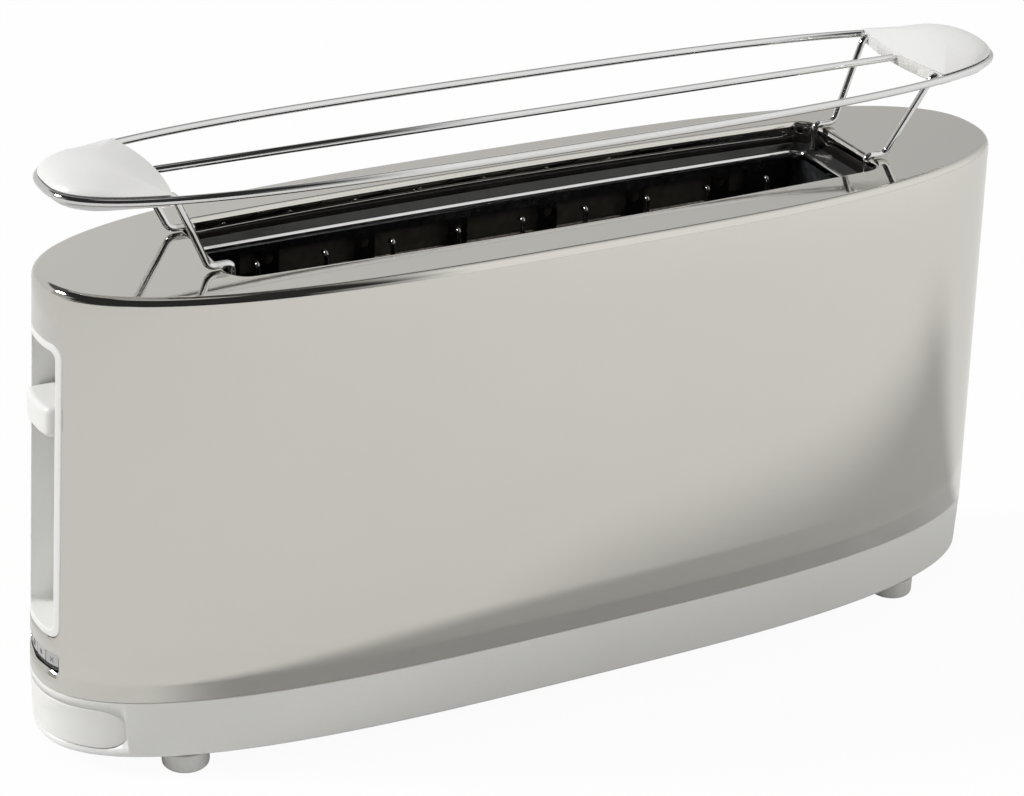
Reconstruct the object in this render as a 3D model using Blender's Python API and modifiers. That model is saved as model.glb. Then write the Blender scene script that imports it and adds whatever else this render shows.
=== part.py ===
"""A long toaster for two slices in line, with a lift-off warming rack on top.

The steel casing stands on a white moulded base with four rubber feet. Inside it a sheet
chassis holds the heaters, the bread guides and the bread lift that the end lever works.
Metres, +Z up, +X along the casing away from the lever, origin on the table under the middle.
"""
import bpy
import bmesh
from math import copysign, cos, pi, sin
from mathutils import Matrix, Vector

# Fits that several pieces share
GAP = 0.0003
CUT_OVERRUN = 0.004

# Body plan at the seam of casing and base, and how far it draws in above and below
BODY_LENGTH = 0.412
BODY_WIDTH = 0.1047
RIM_DRAW_IN_ENDS = 0.006
RIM_DRAW_IN_SIDES = 0.00155
BASE_DRAW_IN_ENDS = 0.0005
BASE_DRAW_IN_SIDES = 0.00015
END_POWER = 3.14
SIDE_POWER = 2.32
PLAN_STEPS = 72

# Heights of the body
FOOT_HEIGHT = 0.008
BASE_HEIGHT = 0.024
CASING_HEIGHT = 0.161

# Steel casing
CASING_SHEET = 0.001
RIM_RADIUS = 0.003
RIM_STEPS = 3

# Bread slot in the deck
DECK_END = 0.063
DECK_SIDE = 0.0238
SLOT_BULGE = 0.0029
SLOT_CORNER = 0.008
SLOT_ROLL_RADIUS = 0.002
SLOT_WALL_DEPTH = 0.008
SLOT_END_STEPS = 4
SLOT_CORNER_STEPS = 4
SLOT_SIDE_STEPS = 10

# Bright frame inside the slot
FRAME_SHEET = 0.0008
FRAME_TUCK = 0.003
FRAME_LEDGE_ENDS = 0.00075
FRAME_LEDGE_SIDES = 0.00025
FRAME_STEP_ENDS = 0.0055
FRAME_STEP_SIDES = 0.0026
FRAME_BULGE = 0.0012
FRAME_SLOPE_DROP = 0.0025
FRAME_LIP_RADIUS = 0.0012
FRAME_LIP_DROP = 0.0015

# White base
BASE_WALL = 0.002
BASE_EDGE_RADIUS = 0.0015
BASE_FLANGE_WIDTH = 0.020
SPIGOT_HEIGHT = 0.006

# Floor plate with its vents
FLOOR_SHEET = 0.0008
VENT_END_ROOM = 0.0418
VENT_RIB = 0.012
VENT_WIDTH = 0.0035
VENT_ROW_OFFSET = 0.016
VENTS_IN_ROW = 6

# Rubber feet, pushed into the base
FOOT_RADIUS = 0.009
FOOT_EDGE = 0.0015
FOOT_STEM_RADIUS = 0.003
FOOT_INSET_ENDS = 0.047
FOOT_INSET_SIDES = 0.02135

# Crumb tray
TRAY_OPENING_INSET = 0.02065
TRAY_OPENING_SILL = 0.0032
TRAY_OPENING_HEAD = 0.0035
TRAY_OPENING_CORNER = 0.006
TRAY_FRONT_WALL = 0.0025
TRAY_LUG_HALF_WIDTH = 0.008
TRAY_LUG_HEIGHT = 0.008
PAN_END_ROOM = 0.024
PAN_SIDE_ROOM = 0.0055
PAN_RUNNING_GAP = 0.0007
PAN_DEPTH = 0.008
PAN_SHEET = 0.0008

# Sheet chassis round the toasting chamber
CHASSIS_SHEET = 0.001
CHASSIS_SIDE_ROOM = 0.01135
CHASSIS_TAB_LENGTH = 0.009
CHASSIS_TAB_WIDTH = 0.009
ROD_TAB_RISE = 0.0186
ROD_TAB_DROP = 0.0092
ROD_TAB_SHEET = 0.0012
LEFT_TAB_REACH = 0.035
RIGHT_TAB_REACH = 0.023
RIGHT_TAB_HALF_WIDTH = 0.012
TAB_EDGE = 0.008
TRAY_PASS_MARGIN = 0.001
LEAD_HOLE_RISE = 0.0131
LEAD_HOLE_RADIUS = 0.003

# Reflectors with their heater windows
REFLECTOR_SHEET = 0.0008
REFLECTOR_RISE = 0.0266
WINDOW_COUNT = 5
WINDOW_END_ROOM = 0.0325
WINDOW_RIB = 0.0081
WINDOW_TOP_EDGE = 0.005
WINDOW_FOOT_EDGE = 0.024
RIB_HOLE_RADIUS = 0.002
RIB_HOLE_DROP = 0.0037
END_HOLE_SIZE = 0.008

# Heaters and outer shields
HEATER_ROOM = 0.0034
HEATER_BOARD_SHEET = 0.0008
HEATER_BOARD_FOOT_EDGE = 0.012
HEATER_BOARD_TOP_EDGE = 0.0022
RIBBON_DIAMETER = 0.0014
RIBBON_ROWS = 10
RIBBON_TOP_ROOM = 0.0142
RIBBON_END_ROOM = 0.0098
SHIELD_INSET = 0.0002
SHIELD_SHEET = 0.0008

# Bread guides
GUIDE_REST_SHARE = 0.5656
GUIDE_END_ROOM = 0.02098
GUIDE_WIRE = 0.002
GUIDE_RAIL = 0.0024
GUIDE_WIRES = 9
GUIDE_TIP_ROOM = 0.0017
GUIDE_RAIL_DROP = 0.0095
GUIDE_RAIL_RISE = 0.010
GUIDE_WIRE_TAIL = 0.0025
GUIDE_TIP_REACH = 0.0028
GUIDE_TIP_DROP = 0.0012
GUIDE_RAIL_OVERHANG = 0.003
GUIDE_CLOSING_SHARE = 0.58
GUIDE_TRAVEL_OUT = 0.0024

# Bread lift, its carriage and rods
LEVER_UP = 0.018
LIFT_BAR_HEIGHT = 0.006
LIFT_BAR_SHEET = 0.0016
LIFT_CROSS_WIRE = 0.002
LIFT_CROSS_HALF_LENGTH = 0.011
LIFT_SLIT_MARGIN = 0.002
ROD_DIAMETER = 0.005
LEFT_ROD_REACH = 0.0192
LEFT_ROD_Y = 0.014
RIGHT_ROD_REACH = 0.0132
CARRIAGE_THICKNESS = 0.012
CARRIAGE_SIDE = 0.006
CARRIAGE_HEIGHT = 0.040
CARRIAGE_HEAD_ROOM = 0.006
CARRIAGE_EDGE = 0.0015
PEG_LENGTH = 0.010
PEG_HEIGHT = 0.0037
PEG_RISE = 0.004
SLIDER_HALF_WIDTH = 0.009
SLIDER_HEIGHT = 0.012
KEEPER_SHEET = 0.0013
KEEPER_HALF_WIDTH = 0.007

# Lever arm and knob
ARM_SHEET = 0.0016
ARM_DROP = 0.0015
ARM_HEIGHT = 0.008
ARM_SOCKET = 0.006
KNOB_LIP = 0.0015
KNOB_HEIGHT = 0.0115
KNOB_HALF_WIDTH = 0.0113
KNOB_DEPTH = 0.0155
KNOB_PROUD = 0.0014
KNOB_EDGE = 0.0022

# Lift spring
SPRING_RADIUS = 0.0035
SPRING_WIRE = 0.0009
SPRING_TURNS = 12
SPRING_TURN_STEPS = 8
SPRING_REACH = 0.012
SPRING_Y = 0.009

# Lever bezel, a white tray let into the end of the casing
BEZEL_HALF_WIDTH = 0.015
BEZEL_RISE = 0.022
BEZEL_DROP = 0.0215
BEZEL_CORNER = 0.005
BEZEL_DEPTH = 0.0195
BEZEL_FLOOR = 0.002
BEZEL_RIM = 0.003
RAMP_RISE = 0.011
RECESS_CORNER = 0.003
BEZEL_SLIT_GAP = 0.0006
BEZEL_SLIT_MARGIN = 0.002

# Keys under the lever
KEY_COUNT = 4
KEY_PITCH = 0.0070
KEY_WIDTH = 0.0066
KEY_FOOT_ROOM = 0.0019
KEY_HEAD_ROOM = 0.0009
KEY_RECESS = 0.0008
KEY_PAD_DEPTH = 0.0095
KEY_STEM_RADIUS = 0.0012
KEY_STEM_DEPTH = 0.0174
KEY_TRAVEL = 0.0015
KEY_WINDOW_HALF_WIDTH = 0.015
KEY_WINDOW_RISE = 0.008
KEY_WINDOW_HEIGHT = 0.0076
KEY_WINDOW_CORNER = 0.0015
HOUSING_RECESS = 0.0012
HOUSING_WALL = 0.0006
HOUSING_POCKET_DEPTH = 0.013
HOUSING_DEPTH = 0.016
HOUSING_FLANGE = 0.002
HOUSING_FLANGE_EDGE = 0.003
HOUSING_POST = 0.003
KEY_BOARD_DEPTH = 0.0213
KEY_BOARD_SHEET = 0.0016
SWITCH_HEIGHT = 0.002
SWITCH_WIDTH = 0.006

# Control board, magnet and terminal block
BOARD_SHEET = 0.0016
BOARD_DROP = 0.0044
BOARD_NEAR_ROOM = 0.0032
BOARD_END_ROOM = 0.028
BOARD_SIDE_ROOM = 0.02435
SPACER_RADIUS = 0.0025
SPACER_INSET = 0.004
SPACER_PITCH = 0.020
SPACER_Y = 0.018
RELAY_LENGTH = 0.009
RELAY_WIDTH = 0.016
RELAY_HEIGHT = 0.012
RELAY_SIDE_SHARE = 0.43
BOX_EDGE = 0.0005
CAPACITOR_RADIUS = 0.0042
CAPACITOR_HEIGHT = 0.014
CAPACITOR_SIDE_SHARE = 0.46
MAGNET_HEIGHT = 0.0126
MAGNET_COIL_RADIUS = 0.0065
MAGNET_COIL_HEIGHT = 0.009
MAGNET_CORE_RADIUS = 0.003
TERMINAL_LENGTH = 0.026
TERMINAL_WIDTH = 0.016
TERMINAL_HEIGHT = 0.013
TERMINAL_REACH = 0.0302

# Mains leads inside the casing
LEAD_DIAMETER = 0.0024

# Cord gland in the back of the base
GLAND_INSET = 0.086
GLAND_BORE_RADIUS = 0.00375
GLAND_NECK_RADIUS = 0.0055
GLAND_FLANGE_RADIUS = 0.0078
GLAND_FLANGE_SHEET = 0.0022
GLAND_NECK_LENGTH = 0.009

# Screws
SCREW_HEAD_RADIUS = 0.003
SCREW_HEAD_HEIGHT = 0.0015
SCREW_SHANK_RADIUS = 0.0015
SCREW_TIP = 0.0008

# Warming rack
RACK_INSET_ENDS = 0.0033
RACK_INSET_SIDES = 0.01345
RACK_RISE = 0.0335
RACK_END_POWER = 3.1
RACK_SIDE_POWER = 2.85
RACK_WIRE = 0.003
RACK_STEPS = 60
MIDDLE_WIRE = 0.0028
MIDDLE_WIRE_SINK = 0.006
CAP_LENGTH = 0.0397
CAP_INNER_SWEEP = 0.0035
CAP_INNER_STEPS = 9
CAP_OUTER_STEPS = 15
CAP_RIM_UP = 0.0022
CAP_RIM_DOWN = 0.0026
CAP_DOME = 0.0052
CAP_DOME_POWER = 2.4
CAP_CROWN_LEAN = 0.6
CAP_BELLY = 0.0030
CAP_DOME_STEPS = 5
CAP_BELLY_STEPS = 3
CAP_CROWN_SHARE = 0.9
LEG_WIRE = 0.0028
LEG_TOP_INSET = 0.01335
LEG_TOP_SINK = 0.0012
LEG_SINK = 0.0075
LEG_FOOT_ENDS = 0.0027
LEG_FOOT_SIDES = 0.0086
LEG_RUN = 0.009
LEG_BEND = 0.0026

# Worked out: the body
RIM_LENGTH = BODY_LENGTH - 2 * RIM_DRAW_IN_ENDS
RIM_WIDTH = BODY_WIDTH - 2 * RIM_DRAW_IN_SIDES
BASE_LENGTH = BODY_LENGTH - 2 * BASE_DRAW_IN_ENDS
BASE_WIDTH = BODY_WIDTH - 2 * BASE_DRAW_IN_SIDES
SEAM_HEIGHT = FOOT_HEIGHT + BASE_HEIGHT
RIM_HEIGHT = SEAM_HEIGHT + CASING_HEIGHT
END_X = BODY_LENGTH / 2
SIDE_Y = BODY_WIDTH / 2
BEYOND_END = END_X + CUT_OVERRUN

# Worked out: slot, frame and chamber
SLOT_LENGTH = RIM_LENGTH - 2 * DECK_END
SLOT_END_WIDTH = RIM_WIDTH - 2 * DECK_SIDE
SLOT_WALL_BOTTOM = RIM_HEIGHT - SLOT_WALL_DEPTH
FRAME_OUTER_LENGTH = SLOT_LENGTH + 2 * FRAME_TUCK
FRAME_OUTER_WIDTH = SLOT_END_WIDTH + 2 * FRAME_TUCK
FRAME_LEDGE_LENGTH = SLOT_LENGTH - 2 * FRAME_LEDGE_ENDS
FRAME_LEDGE_WIDTH = SLOT_END_WIDTH - 2 * FRAME_LEDGE_SIDES
FRAME_MOUTH_LENGTH = SLOT_LENGTH - 2 * FRAME_STEP_ENDS
FRAME_MOUTH_WIDTH = SLOT_END_WIDTH - 2 * FRAME_STEP_SIDES
FRAME_TOP = SLOT_WALL_BOTTOM - GAP
FRAME_BOTTOM = FRAME_TOP - FRAME_SLOPE_DROP - FRAME_LIP_RADIUS - FRAME_LIP_DROP
CHAMBER_HALF_LENGTH = FRAME_MOUTH_LENGTH / 2 + GAP
CHASSIS_OUTER_X = CHAMBER_HALF_LENGTH + CHASSIS_SHEET
CHASSIS_HALF_WIDTH = SIDE_Y - CHASSIS_SIDE_ROOM
CHASSIS_TOP = FRAME_BOTTOM - GAP
FLANGE_TOP = FOOT_HEIGHT + BASE_WALL
FLOOR_BOTTOM = FLANGE_TOP + GAP
FLOOR_TOP = FLOOR_BOTTOM + FLOOR_SHEET
ON_FLOOR = FLOOR_TOP + GAP
VENT_PITCH = 2 * (CHAMBER_HALF_LENGTH - VENT_END_ROOM) / (VENTS_IN_ROW - 1)
VENT_LENGTH = VENT_PITCH - VENT_RIB
FOOT_X = END_X - FOOT_INSET_ENDS
FOOT_Y = SIDE_Y - FOOT_INSET_SIDES

# Worked out: crumb tray
TRAY_OPENING_HALF_WIDTH = SIDE_Y - TRAY_OPENING_INSET
TRAY_OPENING_LOW = FOOT_HEIGHT + TRAY_OPENING_SILL
TRAY_OPENING_HIGH = SEAM_HEIGHT - TRAY_OPENING_HEAD
TRAY_LUG_LOW = ON_FLOOR + 2 * GAP
TRAY_LUG_HIGH = TRAY_LUG_LOW + TRAY_LUG_HEIGHT
PAN_START = END_X - PAN_END_ROOM
PAN_HALF_WIDTH = TRAY_OPENING_HALF_WIDTH - PAN_SIDE_ROOM

# Worked out: heaters and guides
REFLECTOR_Y = FRAME_OUTER_WIDTH / 2
REFLECTOR_LOW = ON_FLOOR + REFLECTOR_RISE
WINDOW_PITCH = (FRAME_MOUTH_LENGTH - 2 * WINDOW_END_ROOM) / WINDOW_COUNT
WINDOW_WIDTH = WINDOW_PITCH - WINDOW_RIB
WINDOW_HIGH = CHASSIS_TOP - WINDOW_TOP_EDGE
WINDOW_LOW = REFLECTOR_LOW + WINDOW_FOOT_EDGE
RIB_HOLE_Z = WINDOW_HIGH - RIB_HOLE_DROP
HEATER_BOARD_Y = REFLECTOR_Y + HEATER_ROOM
HEATER_BOARD_LOW = REFLECTOR_LOW + HEATER_BOARD_FOOT_EDGE
HEATER_BOARD_HIGH = CHASSIS_TOP - HEATER_BOARD_TOP_EDGE
RIBBON_LOW = WINDOW_LOW
RIBBON_PITCH = (HEATER_BOARD_HIGH - RIBBON_TOP_ROOM - RIBBON_LOW) / (RIBBON_ROWS - 1)
RIBBON_HALF_LENGTH = CHAMBER_HALF_LENGTH - RIBBON_END_ROOM
ROD_TAB_LOW = ON_FLOOR + ROD_TAB_RISE
ROD_TAB_HIGH = CHASSIS_TOP - ROD_TAB_DROP
SHIELD_Y = CHASSIS_HALF_WIDTH - SHIELD_SHEET / 2 - SHIELD_INSET
SHIELD_LOW = ROD_TAB_LOW
GUIDE_Y = FRAME_MOUTH_WIDTH / 2 * GUIDE_REST_SHARE
GUIDE_TRAVEL_IN = GUIDE_Y * GUIDE_CLOSING_SHARE
GUIDE_PITCH = (FRAME_MOUTH_LENGTH - 2 * GUIDE_END_ROOM) / (GUIDE_WIRES - 1)
GUIDE_TIP_Z = CHASSIS_TOP - GUIDE_TIP_ROOM
GUIDE_RAIL_HIGH = GUIDE_TIP_Z - GUIDE_RAIL_DROP
GUIDE_RAIL_LOW = ROD_TAB_LOW + GUIDE_RAIL_RISE
GUIDE_WIRE_LOW = GUIDE_RAIL_LOW - GUIDE_WIRE_TAIL

# Worked out: lever, carriage and lift
LEFT_ROD_X = CHASSIS_OUTER_X + LEFT_ROD_REACH
RIGHT_ROD_X = CHASSIS_OUTER_X + RIGHT_ROD_REACH
LEFT_TAB_HALF_WIDTH = LEFT_ROD_Y + TAB_EDGE
CARRIAGE_HALF_WIDTH = LEFT_ROD_Y + CARRIAGE_SIDE
CARRIAGE_HIGH = ROD_TAB_HIGH - LEVER_UP - CARRIAGE_HEAD_ROOM
CARRIAGE_LOW = CARRIAGE_HIGH - CARRIAGE_HEIGHT
MAGNET_LOW = ROD_TAB_LOW + ROD_TAB_SHEET + GAP
MAGNET_HIGH = MAGNET_LOW + MAGNET_HEIGHT
LEVER_DOWN = CARRIAGE_LOW - GAP - KEEPER_SHEET - GAP - MAGNET_HIGH
LIFT_BAR_Z = CARRIAGE_LOW + LIFT_BAR_HEIGHT
SLIDER_LOW = CARRIAGE_LOW
SLIDER_HIGH = SLIDER_LOW + SLIDER_HEIGHT
PEG_LOW = CARRIAGE_LOW + PEG_RISE
ARM_HIGH = CARRIAGE_HIGH - ARM_DROP
ARM_LOW = ARM_HIGH - ARM_HEIGHT
KNOB_LOW = ARM_LOW - KNOB_LIP
KNOB_HIGH = KNOB_LOW + KNOB_HEIGHT
KNOB_BACK = END_X - KNOB_DEPTH
SPRING_X = LEFT_ROD_X + SPRING_REACH

# Worked out: bezel and keys
BEZEL_LOW = SEAM_HEIGHT + BEZEL_RISE
BEZEL_HIGH = RIM_HEIGHT - BEZEL_DROP
BEZEL_BACK = END_X - BEZEL_DEPTH
RECESS_HALF_WIDTH = BEZEL_HALF_WIDTH - BEZEL_RIM
RECESS_HIGH = BEZEL_HIGH - BEZEL_RIM
RECESS_LOW_OUTSIDE = BEZEL_LOW + BEZEL_RIM
RECESS_LOW_INSIDE = RECESS_LOW_OUTSIDE + RAMP_RISE
KEY_WINDOW_LOW = SEAM_HEIGHT + KEY_WINDOW_RISE
KEY_WINDOW_HIGH = KEY_WINDOW_LOW + KEY_WINDOW_HEIGHT
KEY_LOW = KEY_WINDOW_LOW + KEY_FOOT_ROOM
KEY_HIGH = KEY_WINDOW_HIGH - KEY_HEAD_ROOM
KEY_PAD_BACK = END_X - KEY_PAD_DEPTH
KEY_STEM_END = END_X - KEY_STEM_DEPTH
HOUSING_POCKET_FLOOR = END_X - HOUSING_POCKET_DEPTH
HOUSING_BACK = END_X - HOUSING_DEPTH
HOUSING_FLANGE_HALF_WIDTH = KEY_WINDOW_HALF_WIDTH + HOUSING_FLANGE_EDGE
HOUSING_FLANGE_LOW = KEY_WINDOW_LOW - HOUSING_FLANGE_EDGE
HOUSING_FLANGE_HIGH = KEY_WINDOW_HIGH + HOUSING_FLANGE_EDGE
HOUSING_POST_Y = HOUSING_FLANGE_HALF_WIDTH - HOUSING_POST / 2
KEY_BOARD_X = END_X - KEY_BOARD_DEPTH

# Worked out: boards, leads, gland and rack
BOARD_TOP = ROD_TAB_LOW - BOARD_DROP
BOARD_NEAR_X = CHASSIS_OUTER_X + BOARD_NEAR_ROOM
BOARD_FAR_X = END_X - BOARD_END_ROOM
BOARD_HALF_WIDTH = SIDE_Y - BOARD_SIDE_ROOM
RELAY_Y = BOARD_HALF_WIDTH * RELAY_SIDE_SHARE
CAPACITOR_Y = BOARD_HALF_WIDTH * CAPACITOR_SIDE_SHARE
TERMINAL_X = CHASSIS_OUTER_X + TERMINAL_REACH
LEAD_HOLE_Y = (HEATER_BOARD_Y + SHIELD_Y) / 2
LEAD_HOLE_Z = ON_FLOOR + LEAD_HOLE_RISE
GLAND_X = END_X - GLAND_INSET
GLAND_Z = (FOOT_HEIGHT + SEAM_HEIGHT) / 2
RACK_LENGTH = RIM_LENGTH - 2 * RACK_INSET_ENDS
RACK_WIDTH = RIM_WIDTH - 2 * RACK_INSET_SIDES
RACK_HEIGHT = RIM_HEIGHT + RACK_RISE
CAP_INNER_X = RACK_LENGTH / 2 - CAP_LENGTH
LEG_TOP_Y = RACK_WIDTH / 2 - LEG_TOP_INSET
LEG_TOP_X = CAP_INNER_X + LEG_TOP_SINK
LEG_SINK_X = CAP_INNER_X + LEG_SINK
LEG_FOOT_X = SLOT_LENGTH / 2 - LEG_FOOT_ENDS
LEG_FOOT_Y = SLOT_END_WIDTH / 2 - LEG_FOOT_SIDES
LEG_SHOULDER_X = LEG_FOOT_X + LEG_RUN

MATERIALS = {
    "polished_steel": ((0.78, 0.77, 0.75), 0.06, 1.0),
    "bright_chrome": ((0.80, 0.80, 0.80), 0.08, 1.0),
    "white_plastic": ((0.80, 0.80, 0.79), 0.35, 0.0),
    "grey_plastic": ((0.42, 0.42, 0.42), 0.40, 0.0),
    "dark_plastic": ((0.05, 0.05, 0.05), 0.50, 0.0),
    "plated_sheet": ((0.55, 0.56, 0.58), 0.35, 1.0),
    "dark_sheet": ((0.10, 0.10, 0.11), 0.30, 1.0),
    "spring_steel": ((0.50, 0.50, 0.50), 0.30, 1.0),
    "mica": ((0.62, 0.55, 0.42), 0.60, 0.0),
    "heater_alloy": ((0.30, 0.27, 0.25), 0.45, 1.0),
    "board": ((0.10, 0.25, 0.12), 0.50, 0.0),
    "copper": ((0.72, 0.42, 0.25), 0.30, 1.0),
    "rubber": ((0.60, 0.60, 0.59), 0.80, 0.0),
    "lead_sleeve": ((0.70, 0.70, 0.66), 0.60, 0.0),
}


def clear_scene():
    """Remove every object that the file starts with."""
    for old in list(bpy.data.objects):
        bpy.data.objects.remove(old, do_unlink=True)


def new_collection(name):
    """Make a collection in the scene."""
    collection = bpy.data.collections.new(name)
    bpy.context.scene.collection.children.link(collection)
    return collection


clear_scene()
PARTS = new_collection("toaster")
CUTTERS = new_collection("toaster_cutters")


def material(name):
    """Return the named material, made on first use."""
    found = bpy.data.materials.get(name)
    if found:
        return found
    colour, roughness, metallic = MATERIALS[name]
    made = bpy.data.materials.new(name)
    made.use_nodes = True
    shader = made.node_tree.nodes["Principled BSDF"]
    shader.inputs["Base Color"].default_value = (*colour, 1.0)
    shader.inputs["Roughness"].default_value = roughness
    shader.inputs["Metallic"].default_value = metallic
    return made


def mesh_object(name, mesh_data, finish, origin=(0, 0, 0)):
    """Link a mesh made in world places as an object whose origin is the given point."""
    mesh = bpy.data.meshes.new(name)
    mesh_data.to_mesh(mesh)
    mesh_data.free()
    mesh.transform(Matrix.Translation(-Vector(origin)))
    mesh.shade_smooth()
    mesh.set_sharp_from_angle(angle=pi / 6)
    made = bpy.data.objects.new(name, mesh)
    made.location = origin
    if finish:
        mesh.materials.append(material(finish))
        PARTS.objects.link(made)
    else:
        as_cutter(made)
        CUTTERS.objects.link(made)
    return made


def as_cutter(guide):
    """Hide an object that only cuts or joins others."""
    guide.hide_render = True
    guide.display_type = "WIRE"


def boolean(target, operand, operation):
    """Cut, join or intersect a target with an operand."""
    step = target.modifiers.new(operand.name, "BOOLEAN")
    step.object = operand
    step.operation = operation
    step.solver = "EXACT"


def add_box(mesh_data, low, high):
    """Add a box between two corners and return its vertices."""
    low, high = Vector(low), Vector(high)
    size = high - low
    place = Matrix.Translation((low + high) / 2) @ Matrix.Diagonal((*size, 1.0))
    return bmesh.ops.create_cube(mesh_data, size=1.0, matrix=place)["verts"]


def box(name, low, high, finish=None, edge=0.0, edge_axis=None, segments=3, origin=(0, 0, 0)):
    """Make a box, with its edges, or those along one axis, rounded."""
    data = bmesh.new()
    add_box(data, low, high)
    if edge:
        edges = data.edges[:]
        if edge_axis is not None:
            edges = [e for e in edges if abs((e.verts[0].co - e.verts[1].co).normalized()[edge_axis]) > 0.5]
        bmesh.ops.bevel(data, geom=edges, offset=edge, segments=segments, profile=0.5, affect="EDGES")
    return mesh_object(name, data, finish, origin)


def add_rod(mesh_data, start, end, radius, steps=12):
    """Add a cylinder between two points."""
    start, end = Vector(start), Vector(end)
    along = end - start
    turn = Vector((0, 0, 1)).rotation_difference(along).to_matrix().to_4x4()
    place = Matrix.Translation((start + end) / 2) @ turn
    bmesh.ops.create_cone(mesh_data, cap_ends=True, segments=steps, radius1=radius, radius2=radius,
                          depth=along.length, matrix=place)


def rods(name, runs, radius, finish=None, steps=12, origin=(0, 0, 0)):
    """Make one object of separate cylinders, one for each start and end."""
    data = bmesh.new()
    for start, end in runs:
        add_rod(data, start, end, radius, steps)
    return mesh_object(name, data, finish, origin)


def loft(name, rings, finish=None, closed=False, origin=(0, 0, 0)):
    """Skin a stack of rings with equal numbers of points, and cap it when it is closed."""
    data = bmesh.new()
    add_loft(data, rings, closed)
    return mesh_object(name, data, finish, origin)


def add_loft(data, rings, closed=False):
    """Add the skin of a stack of rings and return the rings of vertices."""
    loops = [[data.verts.new(point) for point in ring] for ring in rings]
    count = len(rings[0])
    for lower, upper in zip(loops, loops[1:]):
        for i in range(count):
            j = (i + 1) % count
            data.faces.new((lower[i], lower[j], upper[j], upper[i]))
    if closed:
        data.faces.new(list(reversed(loops[0])))
        data.faces.new(loops[-1])
    return loops


def solidify(target, thickness):
    """Give a skin its thickness behind its outer face."""
    step = target.modifiers.new("sheet", "SOLIDIFY")
    step.thickness = thickness
    step.offset = -1.0
    step.use_even_offset = True


def wire(name, points, diameter, finish, sides=2, cyclic=False):
    """Make a round wire along a list of points."""
    curve = bpy.data.curves.new(name, "CURVE")
    curve.dimensions = "3D"
    curve.bevel_depth = diameter / 2
    curve.bevel_resolution = sides
    curve.use_fill_caps = not cyclic
    spline = curve.splines.new("POLY")
    spline.points.add(len(points) - 1)
    for point, place in zip(spline.points, points):
        point.co = (*place, 1.0)
    spline.use_cyclic_u = cyclic
    spline.use_smooth = True
    made = bpy.data.objects.new(name, curve)
    curve.materials.append(material(finish))
    PARTS.objects.link(made)
    return made


def as_mesh(curve_object, as_guide=False):
    """Turn a curve object into a closed mesh object of the same name."""
    name = curve_object.name
    finish = curve_object.data.materials[0]
    bpy.context.view_layer.update()
    evaluated = curve_object.evaluated_get(bpy.context.evaluated_depsgraph_get())
    mesh = bpy.data.meshes.new_from_object(evaluated)
    place = curve_object.matrix_world.copy()
    bpy.data.objects.remove(curve_object, do_unlink=True)
    data = bmesh.new()
    data.from_mesh(mesh)
    bmesh.ops.remove_doubles(data, verts=data.verts, dist=GAP / 10)
    bmesh.ops.recalc_face_normals(data, faces=data.faces)
    data.to_mesh(mesh)
    data.free()
    mesh.materials.clear()
    mesh.materials.append(finish)
    made = bpy.data.objects.new(name, mesh)
    made.matrix_world = place
    if as_guide:
        as_cutter(made)
    (CUTTERS if as_guide else PARTS).objects.link(made)
    return made


def bent(points, radius, steps=3):
    """Round the inner corners of a path."""
    points = [Vector(p) for p in points]
    path = [points[0]]
    for before, corner, after in zip(points, points[1:], points[2:]):
        reach_in = min(radius, (before - corner).length / 2)
        reach_out = min(radius, (after - corner).length / 2)
        start = corner + (before - corner).normalized() * reach_in
        end = corner + (after - corner).normalized() * reach_out
        for k in range(steps + 1):
            t = k / steps
            path.append(start.lerp(corner, t).lerp(corner.lerp(end, t), t))
    path.append(points[-1])
    return path


def empty(name, place):
    """Make the empty that carries the pieces of one moving body."""
    carrier = bpy.data.objects.new(name, None)
    carrier.location = place
    PARTS.objects.link(carrier)
    return carrier


def carry(carrier, *pieces):
    """Parent pieces to a carrier and keep their places."""
    for piece in pieces:
        piece.parent = carrier
        piece.location = piece.location - carrier.location


def plan_point(half_length, half_width, turn, end_power=END_POWER, side_power=SIDE_POWER):
    """Return a point of the rounded oval plan."""
    across, along = sin(turn), cos(turn)
    x = copysign(abs(along) ** (2 / end_power), along) * half_length
    y = copysign(abs(across) ** (2 / side_power), across) * half_width
    return x, y


def plan_ring(half_length, half_width, height):
    """Return one ring of the body's plan at a height, counter-clockwise from above."""
    turns = [2 * pi * i / PLAN_STEPS for i in range(PLAN_STEPS)]
    return [(*plan_point(half_length, half_width, turn), height) for turn in turns]


def casing_halves(height):
    """Return the casing's half length and half width at a height."""
    share = (RIM_HEIGHT - height) / (RIM_HEIGHT - SEAM_HEIGHT)
    length = RIM_LENGTH + (BODY_LENGTH - RIM_LENGTH) * share
    width = RIM_WIDTH + (BODY_WIDTH - RIM_WIDTH) * share
    return length / 2, width / 2


def base_halves(height):
    """Return the base's half length and half width at a height."""
    share = (height - FOOT_HEIGHT) / (SEAM_HEIGHT - FOOT_HEIGHT)
    length = BASE_LENGTH + (BODY_LENGTH - BASE_LENGTH) * share
    width = BASE_WIDTH + (BODY_WIDTH - BASE_WIDTH) * share
    return length / 2, width / 2


def plan_y(halves, x):
    """Return how far the plan reaches along Y at a distance x from its middle."""
    half_length, half_width = halves
    return half_width * (1 - abs(x / half_length) ** END_POWER) ** (1 / SIDE_POWER)


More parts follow.
